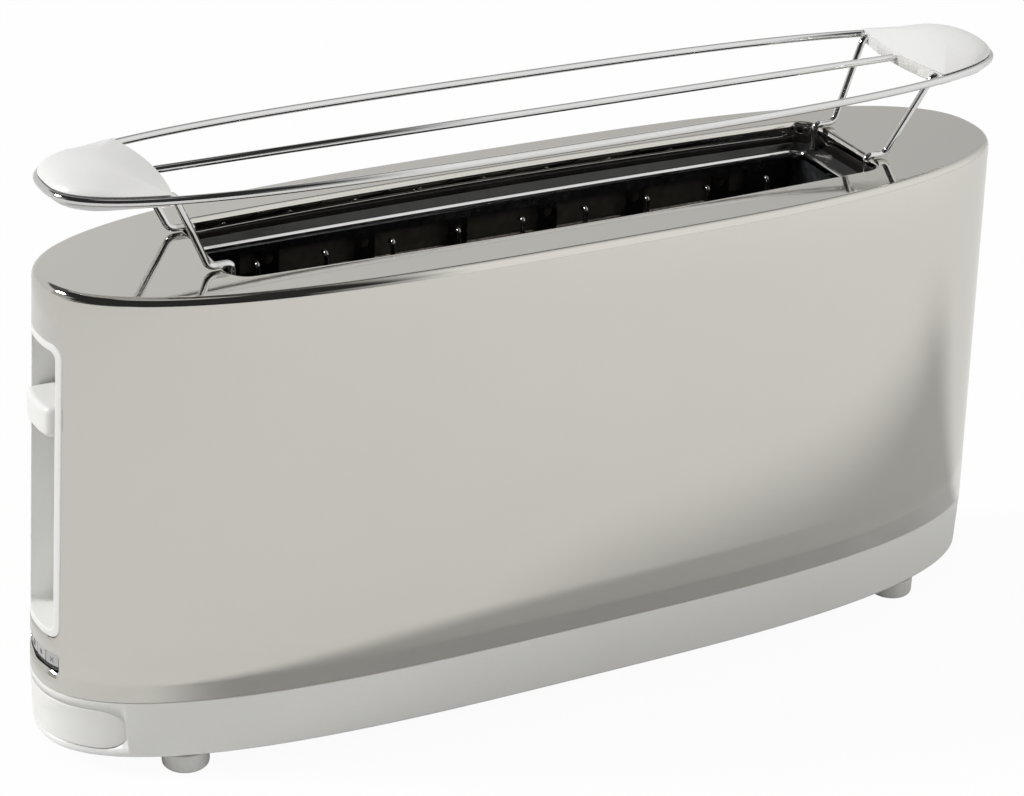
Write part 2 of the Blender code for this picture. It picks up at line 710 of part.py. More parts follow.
def slot_ring(length, end_width, bulge, corner, height):
    """Return one ring of a barrel-sided slot, counter-clockwise from above."""
    half_length, half_width = length / 2, end_width / 2
    side_end = half_length - corner
    quarter = []
    for i in range(SLOT_END_STEPS // 2):
        quarter.append((half_length, (half_width - corner) * i / (SLOT_END_STEPS / 2)))
    for i in range(SLOT_CORNER_STEPS):
        turn = pi / 2 * i / SLOT_CORNER_STEPS
        quarter.append((side_end + corner * cos(turn), half_width - corner + corner * sin(turn)))
    for i in range(SLOT_SIDE_STEPS // 2):
        x = side_end * (1 - i / (SLOT_SIDE_STEPS / 2))
        quarter.append((x, half_width + bulge * (1 - (x / side_end) ** 2)))
    top = (0.0, half_width + bulge)
    right = quarter + [top]
    left = [(-x, y) for x, y in reversed(quarter)]
    upper = right + left
    lower = [(-x, -y) for x, y in upper[1:-1]]
    outline = upper + lower
    return [(x, y, height) for x, y in outline]


def body_envelope(name, low, high, halves, offset):
    """Make a closed guide with the body's plan between two heights, moved out by an offset."""
    rings = []
    for height in (low, high):
        half_length, half_width = halves(height)
        rings.append(plan_ring(half_length + offset, half_width + offset, height))
    return loft(name, rings, closed=True)


def at_end(depth, y=0.0, z=0.0):
    """Return a point at a distance from the middle towards the lever end."""
    return -depth, y, z


def build_casing_shell():
    """Pressed and polished steel shell: wall, rounded rim, deck and rolled slot edge."""
    rings = [plan_ring(*casing_halves(SEAM_HEIGHT + GAP), SEAM_HEIGHT + GAP)]
    half_length, half_width = RIM_LENGTH / 2, RIM_WIDTH / 2
    for i in range(RIM_STEPS + 1):
        turn = pi / 2 * i / RIM_STEPS
        inset = RIM_RADIUS * (1 - cos(turn))
        rings.append(plan_ring(half_length - inset, half_width - inset,
                               RIM_HEIGHT - RIM_RADIUS * (1 - sin(turn))))
    slot_rings = []
    for i in range(RIM_STEPS + 1):
        turn = pi / 2 * i / RIM_STEPS
        out = SLOT_ROLL_RADIUS * (1 - sin(turn))
        slot_rings.append(slot_ring(SLOT_LENGTH + 2 * out, SLOT_END_WIDTH + 2 * out, SLOT_BULGE,
                                    SLOT_CORNER + out, RIM_HEIGHT - SLOT_ROLL_RADIUS * (1 - cos(turn))))
    slot_rings.append(slot_ring(SLOT_LENGTH, SLOT_END_WIDTH, SLOT_BULGE, SLOT_CORNER, SLOT_WALL_BOTTOM))
    data = bmesh.new()
    outer = add_loft(data, rings)[-1]
    inner = add_loft(data, slot_rings)[0]
    data.verts.index_update()
    deck_edges = []
    for loop in (outer, inner):
        for start, end in zip(loop, loop[1:] + loop[:1]):
            deck_edges.append(data.edges.get((start, end)))
    filled = bmesh.ops.triangle_fill(data, edges=deck_edges, use_beauty=True, normal=(0, 0, 1))
    deck = [face for face in filled["geom"] if isinstance(face, bmesh.types.BMFace)]
    for face in deck:
        face.normal_update()
        if face.normal.z < 0:
            face.normal_flip()
    shell = mesh_object("casing_shell", data, "polished_steel")
    solidify(shell, CASING_SHEET)
    lever_opening = box("lever_opening", at_end(BEYOND_END, -BEZEL_HALF_WIDTH - GAP, BEZEL_LOW - GAP),
                        at_end(BEZEL_BACK, BEZEL_HALF_WIDTH + GAP, BEZEL_HIGH + GAP),
                        edge=BEZEL_CORNER + GAP, edge_axis=0, segments=4)
    key_opening = box("key_opening", at_end(BEYOND_END, -KEY_WINDOW_HALF_WIDTH, KEY_WINDOW_LOW),
                      at_end(HOUSING_BACK, KEY_WINDOW_HALF_WIDTH, KEY_WINDOW_HIGH),
                      edge=KEY_WINDOW_CORNER, edge_axis=0)
    boolean(shell, lever_opening, "DIFFERENCE")
    boolean(shell, key_opening, "DIFFERENCE")


def build_slot_frame():
    """Bright stepped frame that lines the slot and closes the top of the chamber."""
    corner_step = (SLOT_LENGTH - FRAME_MOUTH_LENGTH) / 2
    mouth_corner = SLOT_CORNER - corner_step / 2
    rings = [
        slot_ring(FRAME_OUTER_LENGTH, FRAME_OUTER_WIDTH, SLOT_BULGE, SLOT_CORNER + corner_step / 2,
                  FRAME_TOP),
        slot_ring(FRAME_LEDGE_LENGTH, FRAME_LEDGE_WIDTH, SLOT_BULGE, SLOT_CORNER, FRAME_TOP),
    ]
    for i in range(RIM_STEPS + 1):
        turn = pi / 2 * i / RIM_STEPS
        out = FRAME_LIP_RADIUS * (1 - sin(turn))
        drop = FRAME_SLOPE_DROP + FRAME_LIP_RADIUS * (1 - cos(turn))
        rings.append(slot_ring(FRAME_MOUTH_LENGTH + 2 * out, FRAME_MOUTH_WIDTH + 2 * out, FRAME_BULGE,
                               mouth_corner + out, FRAME_TOP - drop))
    rings.append(slot_ring(FRAME_MOUTH_LENGTH, FRAME_MOUTH_WIDTH, FRAME_BULGE, mouth_corner, FRAME_BOTTOM))
    frame = loft("slot_frame", rings, "bright_chrome")
    solidify(frame, FRAME_SHEET)


def build_base_skirt():
    """White moulded ring: floor flange, wall, ledge for the casing and a spigot inside it."""
    half_length, half_width = base_halves(FOOT_HEIGHT)
    inner_length, inner_width = half_length - BASE_FLANGE_WIDTH, half_width - BASE_FLANGE_WIDTH
    rings = [plan_ring(inner_length, inner_width, FOOT_HEIGHT)]
    for i in range(RIM_STEPS + 1):
        turn = pi / 2 * i / RIM_STEPS
        inset = BASE_EDGE_RADIUS * (1 - sin(turn))
        height = FOOT_HEIGHT + BASE_EDGE_RADIUS * (1 - cos(turn))
        rings.append(plan_ring(half_length - inset, half_width - inset, height))
    seam_length, seam_width = base_halves(SEAM_HEIGHT)
    step = CASING_SHEET + GAP
    rings.append(plan_ring(seam_length, seam_width, SEAM_HEIGHT))
    rings.append(plan_ring(seam_length - step, seam_width - step, SEAM_HEIGHT))
    rings.append(plan_ring(seam_length - step, seam_width - step, SEAM_HEIGHT + SPIGOT_HEIGHT))
    skirt = loft("base_skirt", rings, "white_plastic")
    solidify(skirt, BASE_WALL)
    tray_opening = box("tray_opening", at_end(BEYOND_END, -TRAY_OPENING_HALF_WIDTH, TRAY_OPENING_LOW),
                       at_end(PAN_START - CUT_OVERRUN, TRAY_OPENING_HALF_WIDTH, TRAY_OPENING_HIGH),
                       edge=TRAY_OPENING_CORNER, edge_axis=0, segments=4)
    boolean(skirt, tray_opening, "DIFFERENCE")
    gland_y = plan_y(base_halves(GLAND_Z), GLAND_X)
    low, high = FOOT_HEIGHT - CUT_OVERRUN, FLANGE_TOP + CUT_OVERRUN
    boolean(skirt, screw_holes("skirt_screw_holes", low, high), "DIFFERENCE")
    boolean(skirt, stem_holes("skirt_stem_holes", low, high), "DIFFERENCE")
    gland_hole = rods("gland_hole", [((GLAND_X, gland_y - GLAND_NECK_LENGTH, GLAND_Z),
                                      (GLAND_X, gland_y + CUT_OVERRUN,
                                       GLAND_Z))], GLAND_NECK_RADIUS + GAP, steps=20)
    boolean(skirt, gland_hole, "DIFFERENCE")


def screw_places():
    """Return the names and places of the screws that hold base, floor and chassis together."""
    x = CHASSIS_OUTER_X + (CHASSIS_TAB_LENGTH + CHASSIS_SHEET) / 2
    y = CHASSIS_HALF_WIDTH - CHASSIS_TAB_WIDTH / 2
    return [("screw_left_front", -x, -y), ("screw_left_back", -x, y),
            ("screw_right_front", x, -y), ("screw_right_back", x, y)]


def screw_holes(name, low, high):
    """Make the cutter for the holes that the screws go through."""
    return rods(name, [((x, y, low), (x, y, high)) for _, x, y in screw_places()], SCREW_SHANK_RADIUS + GAP)


def foot_places():
    """Return the middles of the four feet with their names."""
    return [("foot_left_front", -FOOT_X, -FOOT_Y), ("foot_left_back", -FOOT_X, FOOT_Y),
            ("foot_right_front", FOOT_X, -FOOT_Y), ("foot_right_back", FOOT_X, FOOT_Y)]


def stem_holes(name, low, high):
    """Make the cutter for the holes that the foot stems go through."""
    return rods(name, [((x, y, low), (x, y, high)) for _, x, y in foot_places()], FOOT_STEM_RADIUS + GAP,
                steps=16)


def build_floor_plate():
    """Sheet floor that lies on the flange of the base, with vents under the crumb tray."""
    half_length, half_width = base_halves(FLOOR_TOP)
    inset = BASE_WALL + 2 * GAP
    rings = [plan_ring(half_length - inset, half_width - inset, height)
             for height in (FLOOR_BOTTOM, FLOOR_TOP)]
    plate = loft("floor_plate", rings, "plated_sheet", closed=True)
    low, high = FLOOR_BOTTOM - CUT_OVERRUN, FLOOR_TOP + CUT_OVERRUN
    vents = bmesh.new()
    for i in range(VENTS_IN_ROW):
        x = (i - (VENTS_IN_ROW - 1) / 2) * VENT_PITCH
        for y in (-VENT_ROW_OFFSET, VENT_ROW_OFFSET):
            add_box(vents, (x - VENT_LENGTH / 2, y - VENT_WIDTH / 2, low),
                    (x + VENT_LENGTH / 2, y + VENT_WIDTH / 2, high))
    boolean(plate, mesh_object("floor_vents", vents, None), "DIFFERENCE")
    boolean(plate, screw_holes("floor_screw_holes", low, high), "DIFFERENCE")
    boolean(plate, stem_holes("floor_stem_holes", low, high), "DIFFERENCE")


def build_feet():
    """Four turned rubber feet, each with a stem through the base and the floor plate."""
    shoulder = FOOT_HEIGHT - GAP
    stem_top = FLOOR_TOP - GAP / 2
    profile = [(0.0, stem_top), (FOOT_STEM_RADIUS, stem_top), (FOOT_STEM_RADIUS, shoulder),
               (FOOT_RADIUS, shoulder),
               (FOOT_RADIUS, FOOT_EDGE), (FOOT_RADIUS - FOOT_EDGE / 3,
                                          FOOT_EDGE / 3), (FOOT_RADIUS - FOOT_EDGE, 0.0),
               (0.0, 0.0)]
    for name, x, y in foot_places():
        turned(name, profile, "rubber", 24, (x, y, 0.0))


def turned(name, profile, finish, steps, place):
    """Turn a profile of radius and height about the vertical through a place."""
    data = bmesh.new()
    points = [data.verts.new((radius, 0.0, height)) for radius, height in profile]
    for start, end in zip(points, points[1:]):
        data.edges.new((start, end))
    made = mesh_object(name, data, finish)
    made.location = place
    screw = made.modifiers.new("turn", "SCREW")
    screw.axis = "Z"
    screw.steps = steps
    screw.render_steps = steps
    screw.use_merge_vertices = True
    screw.merge_threshold = GAP / 10
    return made


def build_crumb_tray():
    """Sheet pan and the white front that closes the opening in the base."""
    front = box("tray_front", at_end(BEYOND_END, -TRAY_OPENING_HALF_WIDTH + GAP, TRAY_OPENING_LOW + GAP),
                at_end(PAN_START + GAP, TRAY_OPENING_HALF_WIDTH - GAP, TRAY_OPENING_HIGH - GAP),
                "white_plastic", TRAY_OPENING_CORNER - GAP, 0, 4)
    low, high = FOOT_HEIGHT, SEAM_HEIGHT
    outer = body_envelope("tray_front_skin", low, high, base_halves, 0.0)
    inner = body_envelope("tray_front_hollow", low - CUT_OVERRUN, high + CUT_OVERRUN, base_halves,
                          -TRAY_FRONT_WALL)
    lug_start = base_halves(TRAY_LUG_LOW)[0] - TRAY_FRONT_WALL / 2
    lug = box("tray_lug", at_end(lug_start, -TRAY_LUG_HALF_WIDTH, TRAY_LUG_LOW),
              at_end(PAN_START + GAP, TRAY_LUG_HALF_WIDTH, TRAY_LUG_HIGH))
    boolean(front, outer, "INTERSECT")
    boolean(front, inner, "DIFFERENCE")
    boolean(front, lug, "UNION")

    data = bmesh.new()
    add_box(data, at_end(PAN_START, -PAN_HALF_WIDTH, ON_FLOOR),
            (CHAMBER_HALF_LENGTH - PAN_RUNNING_GAP, PAN_HALF_WIDTH, ON_FLOOR + PAN_DEPTH))
    lid = [face for face in data.faces if face.normal.z > 0.5]
    bmesh.ops.delete(data, geom=lid, context="FACES_ONLY")
    pan = mesh_object("crumb_tray", data, "plated_sheet")
    solidify(pan, PAN_SHEET)
    carry(empty("tray_slide", at_end(PAN_START, 0.0, ON_FLOOR)), front, pan)


def build_end_plate(name, side, tab_reach, tab_half_width, rod_x, rod_ys):
    """Sheet end plate of the chamber, with folded tabs for its screws and its guide rods."""
    def span(near, far, y_low, y_high, z_low, z_high):
        """Return the corners of a box given its reach from the middle on this side."""
        x_low, x_high = sorted((side * near, side * far))
        return (x_low, y_low, z_low), (x_high, y_high, z_high)

    plate = box(name, *span(CHAMBER_HALF_LENGTH, CHASSIS_OUTER_X, -CHASSIS_HALF_WIDTH, CHASSIS_HALF_WIDTH,
                            ON_FLOOR, CHASSIS_TOP), "plated_sheet")
    inside = CHAMBER_HALF_LENGTH + CHASSIS_SHEET / 2
    tabs = bmesh.new()
    for y_side in (-1, 1):
        y_low, y_high = sorted((y_side * (CHASSIS_HALF_WIDTH - CHASSIS_TAB_WIDTH),
                                y_side * CHASSIS_HALF_WIDTH))
        add_box(tabs, *span(inside, CHASSIS_OUTER_X + CHASSIS_TAB_LENGTH, y_low, y_high,
                            ON_FLOOR, ON_FLOOR + CHASSIS_SHEET))
    for height in (ROD_TAB_LOW, ROD_TAB_HIGH):
        add_box(tabs, *span(inside, CHASSIS_OUTER_X + tab_reach, -tab_half_width, tab_half_width,
                            height, height + ROD_TAB_SHEET))
    boolean(plate, mesh_object(name + "_tabs", tabs, None), "UNION")

    cuts = bmesh.new()
    near, far = CHAMBER_HALF_LENGTH - CUT_OVERRUN, CHASSIS_OUTER_X + CUT_OVERRUN
    slit = LIFT_BAR_SHEET / 2 + GAP
    add_box(cuts,
            *span(near, far, -slit, slit, LIFT_BAR_Z - LIFT_BAR_HEIGHT / 2 - LEVER_DOWN - LIFT_SLIT_MARGIN,
                        LIFT_BAR_Z + LIFT_BAR_HEIGHT / 2 + LEVER_UP + LIFT_SLIT_MARGIN))
    rail_y = GUIDE_Y + GUIDE_RAIL / 2
    rail_slot = GUIDE_RAIL / 2 + GAP
    for height in (GUIDE_RAIL_LOW, GUIDE_RAIL_HIGH):
        for y_side in (-1, 1):
            y_low, y_high = sorted((y_side * (rail_y - GUIDE_TRAVEL_IN - rail_slot - GAP),
                                    y_side * (rail_y + GUIDE_TRAVEL_OUT + rail_slot + GAP)))
            add_box(cuts, *span(near, far, y_low, y_high, height - rail_slot, height + rail_slot))
    if side < 0:
        pass_half_width = PAN_HALF_WIDTH + TRAY_PASS_MARGIN
        add_box(cuts, *span(near, far, -pass_half_width, pass_half_width,
                            ON_FLOOR - CUT_OVERRUN, ON_FLOOR + PAN_DEPTH + TRAY_PASS_MARGIN))
    boolean(plate, mesh_object(name + "_slots", cuts, None), "DIFFERENCE")

    holes = bmesh.new()
    for y in rod_ys:
        for height in (ROD_TAB_LOW, ROD_TAB_HIGH):
            add_rod(holes, (side * rod_x, y, height - CUT_OVERRUN), (side * rod_x, y, height + CUT_OVERRUN),
                    ROD_DIAMETER / 2 + GAP)
    for y_side in (-1, 1):
        add_rod(holes, (side * near, y_side * LEAD_HOLE_Y, LEAD_HOLE_Z),
                (side * far, y_side * LEAD_HOLE_Y, LEAD_HOLE_Z), LEAD_HOLE_RADIUS)
    boolean(plate, mesh_object(name + "_holes", holes, None), "DIFFERENCE")
    boolean(plate, screw_holes(name + "_screw_holes", ON_FLOOR - CUT_OVERRUN, ON_FLOOR + CUT_OVERRUN),
            "DIFFERENCE")


def sheet_between_ends(name, y_middle, thickness, low, high, finish):
    """Make a flat sheet that stands between the end plates."""
    half_length = CHAMBER_HALF_LENGTH - GAP
    return box(name, (-half_length, y_middle - thickness / 2, low),
               (half_length, y_middle + thickness / 2, high), finish)


def build_chamber_side(name, side):
    """Reflector, heater board, heater ribbon and outer shield on one side of the bread."""
    reflector = sheet_between_ends("reflector_" + name, side * REFLECTOR_Y, REFLECTOR_SHEET, REFLECTOR_LOW,
                                   CHASSIS_TOP, "dark_sheet")
    y_low = side * REFLECTOR_Y - REFLECTOR_SHEET / 2 - CUT_OVERRUN / 4
    y_high = side * REFLECTOR_Y + REFLECTOR_SHEET / 2 + CUT_OVERRUN / 4
    windows = bmesh.new()
    holes = bmesh.new()
    for i in range(WINDOW_COUNT):
        x = (i - (WINDOW_COUNT - 1) / 2) * WINDOW_PITCH
        add_box(windows, (x - WINDOW_WIDTH / 2, y_low, WINDOW_LOW),
                (x + WINDOW_WIDTH / 2, y_high, WINDOW_HIGH))
    for i in range(WINDOW_COUNT + 1):
        x = (i - WINDOW_COUNT / 2) * WINDOW_PITCH
        add_rod(holes, (x, y_low, RIB_HOLE_Z), (x, y_high, RIB_HOLE_Z), RIB_HOLE_RADIUS, 8)
    for x_side in (-1, 1):
        x = x_side * (WINDOW_COUNT / 2 * WINDOW_PITCH + END_HOLE_SIZE)
        add_box(windows, (x - END_HOLE_SIZE / 2, y_low, WINDOW_HIGH - END_HOLE_SIZE),
                (x + END_HOLE_SIZE / 2, y_high, WINDOW_HIGH))
    boolean(reflector, mesh_object("windows_" + name, windows, None), "DIFFERENCE")
    boolean(reflector, mesh_object("rib_holes_" + name, holes, None), "DIFFERENCE")
    sheet_between_ends("heater_board_" + name, side * HEATER_BOARD_Y, HEATER_BOARD_SHEET, HEATER_BOARD_LOW,
                       HEATER_BOARD_HIGH, "mica")
    ribbon_y = side * (HEATER_BOARD_Y - HEATER_BOARD_SHEET / 2 - GAP - RIBBON_DIAMETER / 2)
    path = []
    for row in range(RIBBON_ROWS):
        height = RIBBON_LOW + row * RIBBON_PITCH
        turn = 1 if row % 2 else -1
        path.append((turn * RIBBON_HALF_LENGTH, ribbon_y, height))
        path.append((-turn * RIBBON_HALF_LENGTH, ribbon_y, height))
    wire("heater_ribbon_" + name, path, RIBBON_DIAMETER, "heater_alloy", 1)
    sheet_between_ends("heat_shield_" + name, side * SHIELD_Y, SHIELD_SHEET, SHIELD_LOW, CHASSIS_TOP,
                       "plated_sheet")


def build_bread_guide(name, side):
    """Wire cage that closes on the bread: two rails and upright wires with bent tips."""
    y = side * GUIDE_Y
    uprights = []
    for i in range(GUIDE_WIRES):
        x = (i - (GUIDE_WIRES - 1) / 2) * GUIDE_PITCH
        path = bent([(x, y, GUIDE_WIRE_LOW), (x, y, GUIDE_TIP_Z),
                     (x, y + side * GUIDE_TIP_REACH, GUIDE_TIP_Z - GUIDE_TIP_DROP)], GUIDE_WIRE, 2)
        uprights.append(as_mesh(wire(name + "_upright", path, GUIDE_WIRE, "bright_chrome", 1), True))
    data = bmesh.new()
    for upright in uprights:
        data.from_mesh(upright.data)
        bpy.data.objects.remove(upright, do_unlink=True)
    origin = (0.0, y, GUIDE_RAIL_LOW)
    cage = mesh_object(name, data, "bright_chrome", origin)
    rail_y = y + side * GUIDE_RAIL / 2
    reach = CHASSIS_OUTER_X + GUIDE_RAIL_OVERHANG
    runs = [((-reach, rail_y, z), (reach, rail_y, z)) for z in (GUIDE_RAIL_LOW, GUIDE_RAIL_HIGH)]
    rails = rods(name + "_rails", runs, GUIDE_RAIL / 2, steps=8)
    boolean(cage, rails, "UNION")
    carrier = empty(name + "_slide", origin)
    carry(carrier, cage)


def build_bread_lift():
    """Long bar with cross wires under the bread, and the slider at its far end."""
    half_height = LIFT_BAR_HEIGHT / 2
    start = LEFT_ROD_X - CARRIAGE_THICKNESS / 2 - GAP
    slider_start = RIGHT_ROD_X - CARRIAGE_THICKNESS / 2
    lift = box("bread_lift", (-start, -LIFT_BAR_SHEET / 2, LIFT_BAR_Z - half_height),
               (slider_start - GAP, LIFT_BAR_SHEET / 2, LIFT_BAR_Z + half_height), "bright_chrome")
    crosses = []
    wire_z = LIFT_BAR_Z + half_height - LIFT_CROSS_WIRE / 3
    for i in range(GUIDE_WIRES - 1):
        x = (i - (GUIDE_WIRES - 2) / 2) * GUIDE_PITCH
        crosses.append(((x, -LIFT_CROSS_HALF_LENGTH, wire_z), (x, LIFT_CROSS_HALF_LENGTH, wire_z)))
    boolean(lift, rods("lift_crosses", crosses, LIFT_CROSS_WIRE / 2, steps=8), "UNION")
    slider = box("lift_slider", (slider_start, -SLIDER_HALF_WIDTH, SLIDER_LOW),
                 (slider_start + CARRIAGE_THICKNESS, SLIDER_HALF_WIDTH,
                  SLIDER_HIGH), "dark_plastic", CARRIAGE_EDGE)
    bore = rods("slider_bore", [((RIGHT_ROD_X, 0.0, SLIDER_LOW - CUT_OVERRUN),
                                 (RIGHT_ROD_X, 0.0, SLIDER_HIGH + CUT_OVERRUN))], ROD_DIAMETER / 2 + GAP)
    boolean(slider, bore, "DIFFERENCE")
    return lift, slider


def build_lever():
    """Carriage on two rods, its keeper plate, the arm through the bezel and the knob."""
    near, far = LEFT_ROD_X - CARRIAGE_THICKNESS / 2, LEFT_ROD_X + CARRIAGE_THICKNESS / 2
    carriage = box("carriage", at_end(far, -CARRIAGE_HALF_WIDTH, CARRIAGE_LOW),
                   at_end(near, CARRIAGE_HALF_WIDTH, CARRIAGE_HIGH), "dark_plastic", CARRIAGE_EDGE)
    peg = box("carriage_peg", at_end(far + PEG_LENGTH, SPRING_Y - SPRING_RADIUS, PEG_LOW),
              at_end(LEFT_ROD_X, SPRING_Y + SPRING_RADIUS, PEG_LOW + PEG_HEIGHT))
    boolean(carriage, peg, "UNION")
    bores = [((-LEFT_ROD_X, y, CARRIAGE_LOW - CUT_OVERRUN), (-LEFT_ROD_X, y, CARRIAGE_HIGH + CUT_OVERRUN))
             for y in (-LEFT_ROD_Y, LEFT_ROD_Y)]
    boolean(carriage, rods("carriage_bores", bores, ROD_DIAMETER / 2 + GAP), "DIFFERENCE")
    keeper_top = CARRIAGE_LOW - GAP
    keeper_low = keeper_top - KEEPER_SHEET
    keeper = box("latch_keeper", at_end(LEFT_ROD_X + KEEPER_HALF_WIDTH, -KEEPER_HALF_WIDTH, keeper_low),
                 at_end(LEFT_ROD_X - KEEPER_HALF_WIDTH, KEEPER_HALF_WIDTH, keeper_top), "spring_steel")
    arm_end = KNOB_BACK + ARM_SOCKET
    arm = box("lever_arm", at_end(arm_end, -ARM_SHEET / 2, ARM_LOW),
              at_end(far + GAP, ARM_SHEET / 2, ARM_HIGH),
              "spring_steel")
    knob = box("lever_knob", at_end(BEYOND_END, -KNOB_HALF_WIDTH, KNOB_LOW),
               at_end(KNOB_BACK, KNOB_HALF_WIDTH, KNOB_HIGH), "white_plastic", KNOB_EDGE, 1)
    skin = body_envelope("knob_skin", BEZEL_LOW, RIM_HEIGHT - RIM_RADIUS, casing_halves, KNOB_PROUD)
    socket = box("knob_socket", at_end(arm_end + GAP, -ARM_SHEET / 2 - GAP, ARM_LOW - GAP),
                 at_end(KNOB_BACK - CUT_OVERRUN, ARM_SHEET / 2 + GAP, ARM_HIGH + GAP))
    boolean(knob, skin, "INTERSECT")
    boolean(knob, socket, "DIFFERENCE")
    lift, slider = build_bread_lift()
    carry(empty("lever_slide", at_end(LEFT_ROD_X, 0.0, CARRIAGE_LOW)), carriage, keeper, arm, knob, lift,
          slider)


def build_guide_rods():
    """Steel rods that the carriage and the far slider run on."""
    low, high = ROD_TAB_LOW, ROD_TAB_HIGH + ROD_TAB_SHEET
    places = (("guide_rod_front", -LEFT_ROD_X, -LEFT_ROD_Y), ("guide_rod_back", -LEFT_ROD_X, LEFT_ROD_Y),
              ("guide_rod_right", RIGHT_ROD_X, 0.0))
    for name, x, y in places:
        rods(name, [((x, y, low), (x, y, high))], ROD_DIAMETER / 2, "bright_chrome")


def build_lift_spring():
    """Coil between the upper rod tab and the carriage peg, which pulls the lever up."""
    low = PEG_LOW + PEG_HEIGHT + GAP + SPRING_WIRE / 2
    high = ROD_TAB_HIGH - GAP - SPRING_WIRE / 2
    steps = SPRING_TURNS * SPRING_TURN_STEPS
    radius = SPRING_RADIUS - SPRING_WIRE / 2
    path = []
    for i in range(steps + 1):
        turn = 2 * pi * i / SPRING_TURN_STEPS
        height = low + (high - low) * i / steps
        path.append((-SPRING_X + radius * cos(turn), SPRING_Y + radius * sin(turn), height))
    wire("lift_spring", path, SPRING_WIRE, "spring_steel", 0)


def build_lever_bezel():
    """White tray let into the end of the casing, with a sloped foot and a slit for the arm."""
    bezel = box("lever_bezel", at_end(BEYOND_END, -BEZEL_HALF_WIDTH, BEZEL_LOW),
                at_end(BEZEL_BACK, BEZEL_HALF_WIDTH, BEZEL_HIGH), "white_plastic", BEZEL_CORNER, 0, 4)
    skin = body_envelope("bezel_skin", SEAM_HEIGHT, RIM_HEIGHT, casing_halves, 0.0)
    floor_x = BEZEL_BACK + BEZEL_FLOOR
    data = bmesh.new()
    corners = add_box(data, at_end(BEYOND_END + CUT_OVERRUN, -RECESS_HALF_WIDTH, RECESS_LOW_INSIDE),
                      at_end(floor_x, RECESS_HALF_WIDTH, RECESS_HIGH))
    for corner in corners:
        if corner.co.z < BEZEL_HIGH / 2 and corner.co.x < -floor_x - CUT_OVERRUN:
            corner.co.z = RECESS_LOW_OUTSIDE - (RECESS_LOW_INSIDE - RECESS_LOW_OUTSIDE) / 2
    upper = [e for e in data.edges if all(v.co.z > BEZEL_HIGH / 2 for v in e.verts)
             and abs(e.verts[0].co.x - e.verts[1].co.x) > RECESS_HALF_WIDTH / 2]
    bmesh.ops.bevel(data, geom=upper, offset=RECESS_CORNER, segments=3, profile=0.5, affect="EDGES")
    recess = mesh_object("bezel_recess", data, None)
    slit_half = ARM_SHEET / 2 + BEZEL_SLIT_GAP
    slit = box("bezel_slit",
               at_end(floor_x + CUT_OVERRUN, -slit_half, ARM_LOW - LEVER_DOWN - BEZEL_SLIT_MARGIN),
               at_end(BEZEL_BACK - CUT_OVERRUN, slit_half, ARM_HIGH + LEVER_UP + BEZEL_SLIT_MARGIN))
    boolean(bezel, skin, "INTERSECT")
    boolean(bezel, recess, "DIFFERENCE")
    boolean(bezel, slit, "DIFFERENCE")


def key_middle(index):
    """Return the middle of one key across the window."""
    return (index - (KEY_COUNT - 1) / 2) * KEY_PITCH


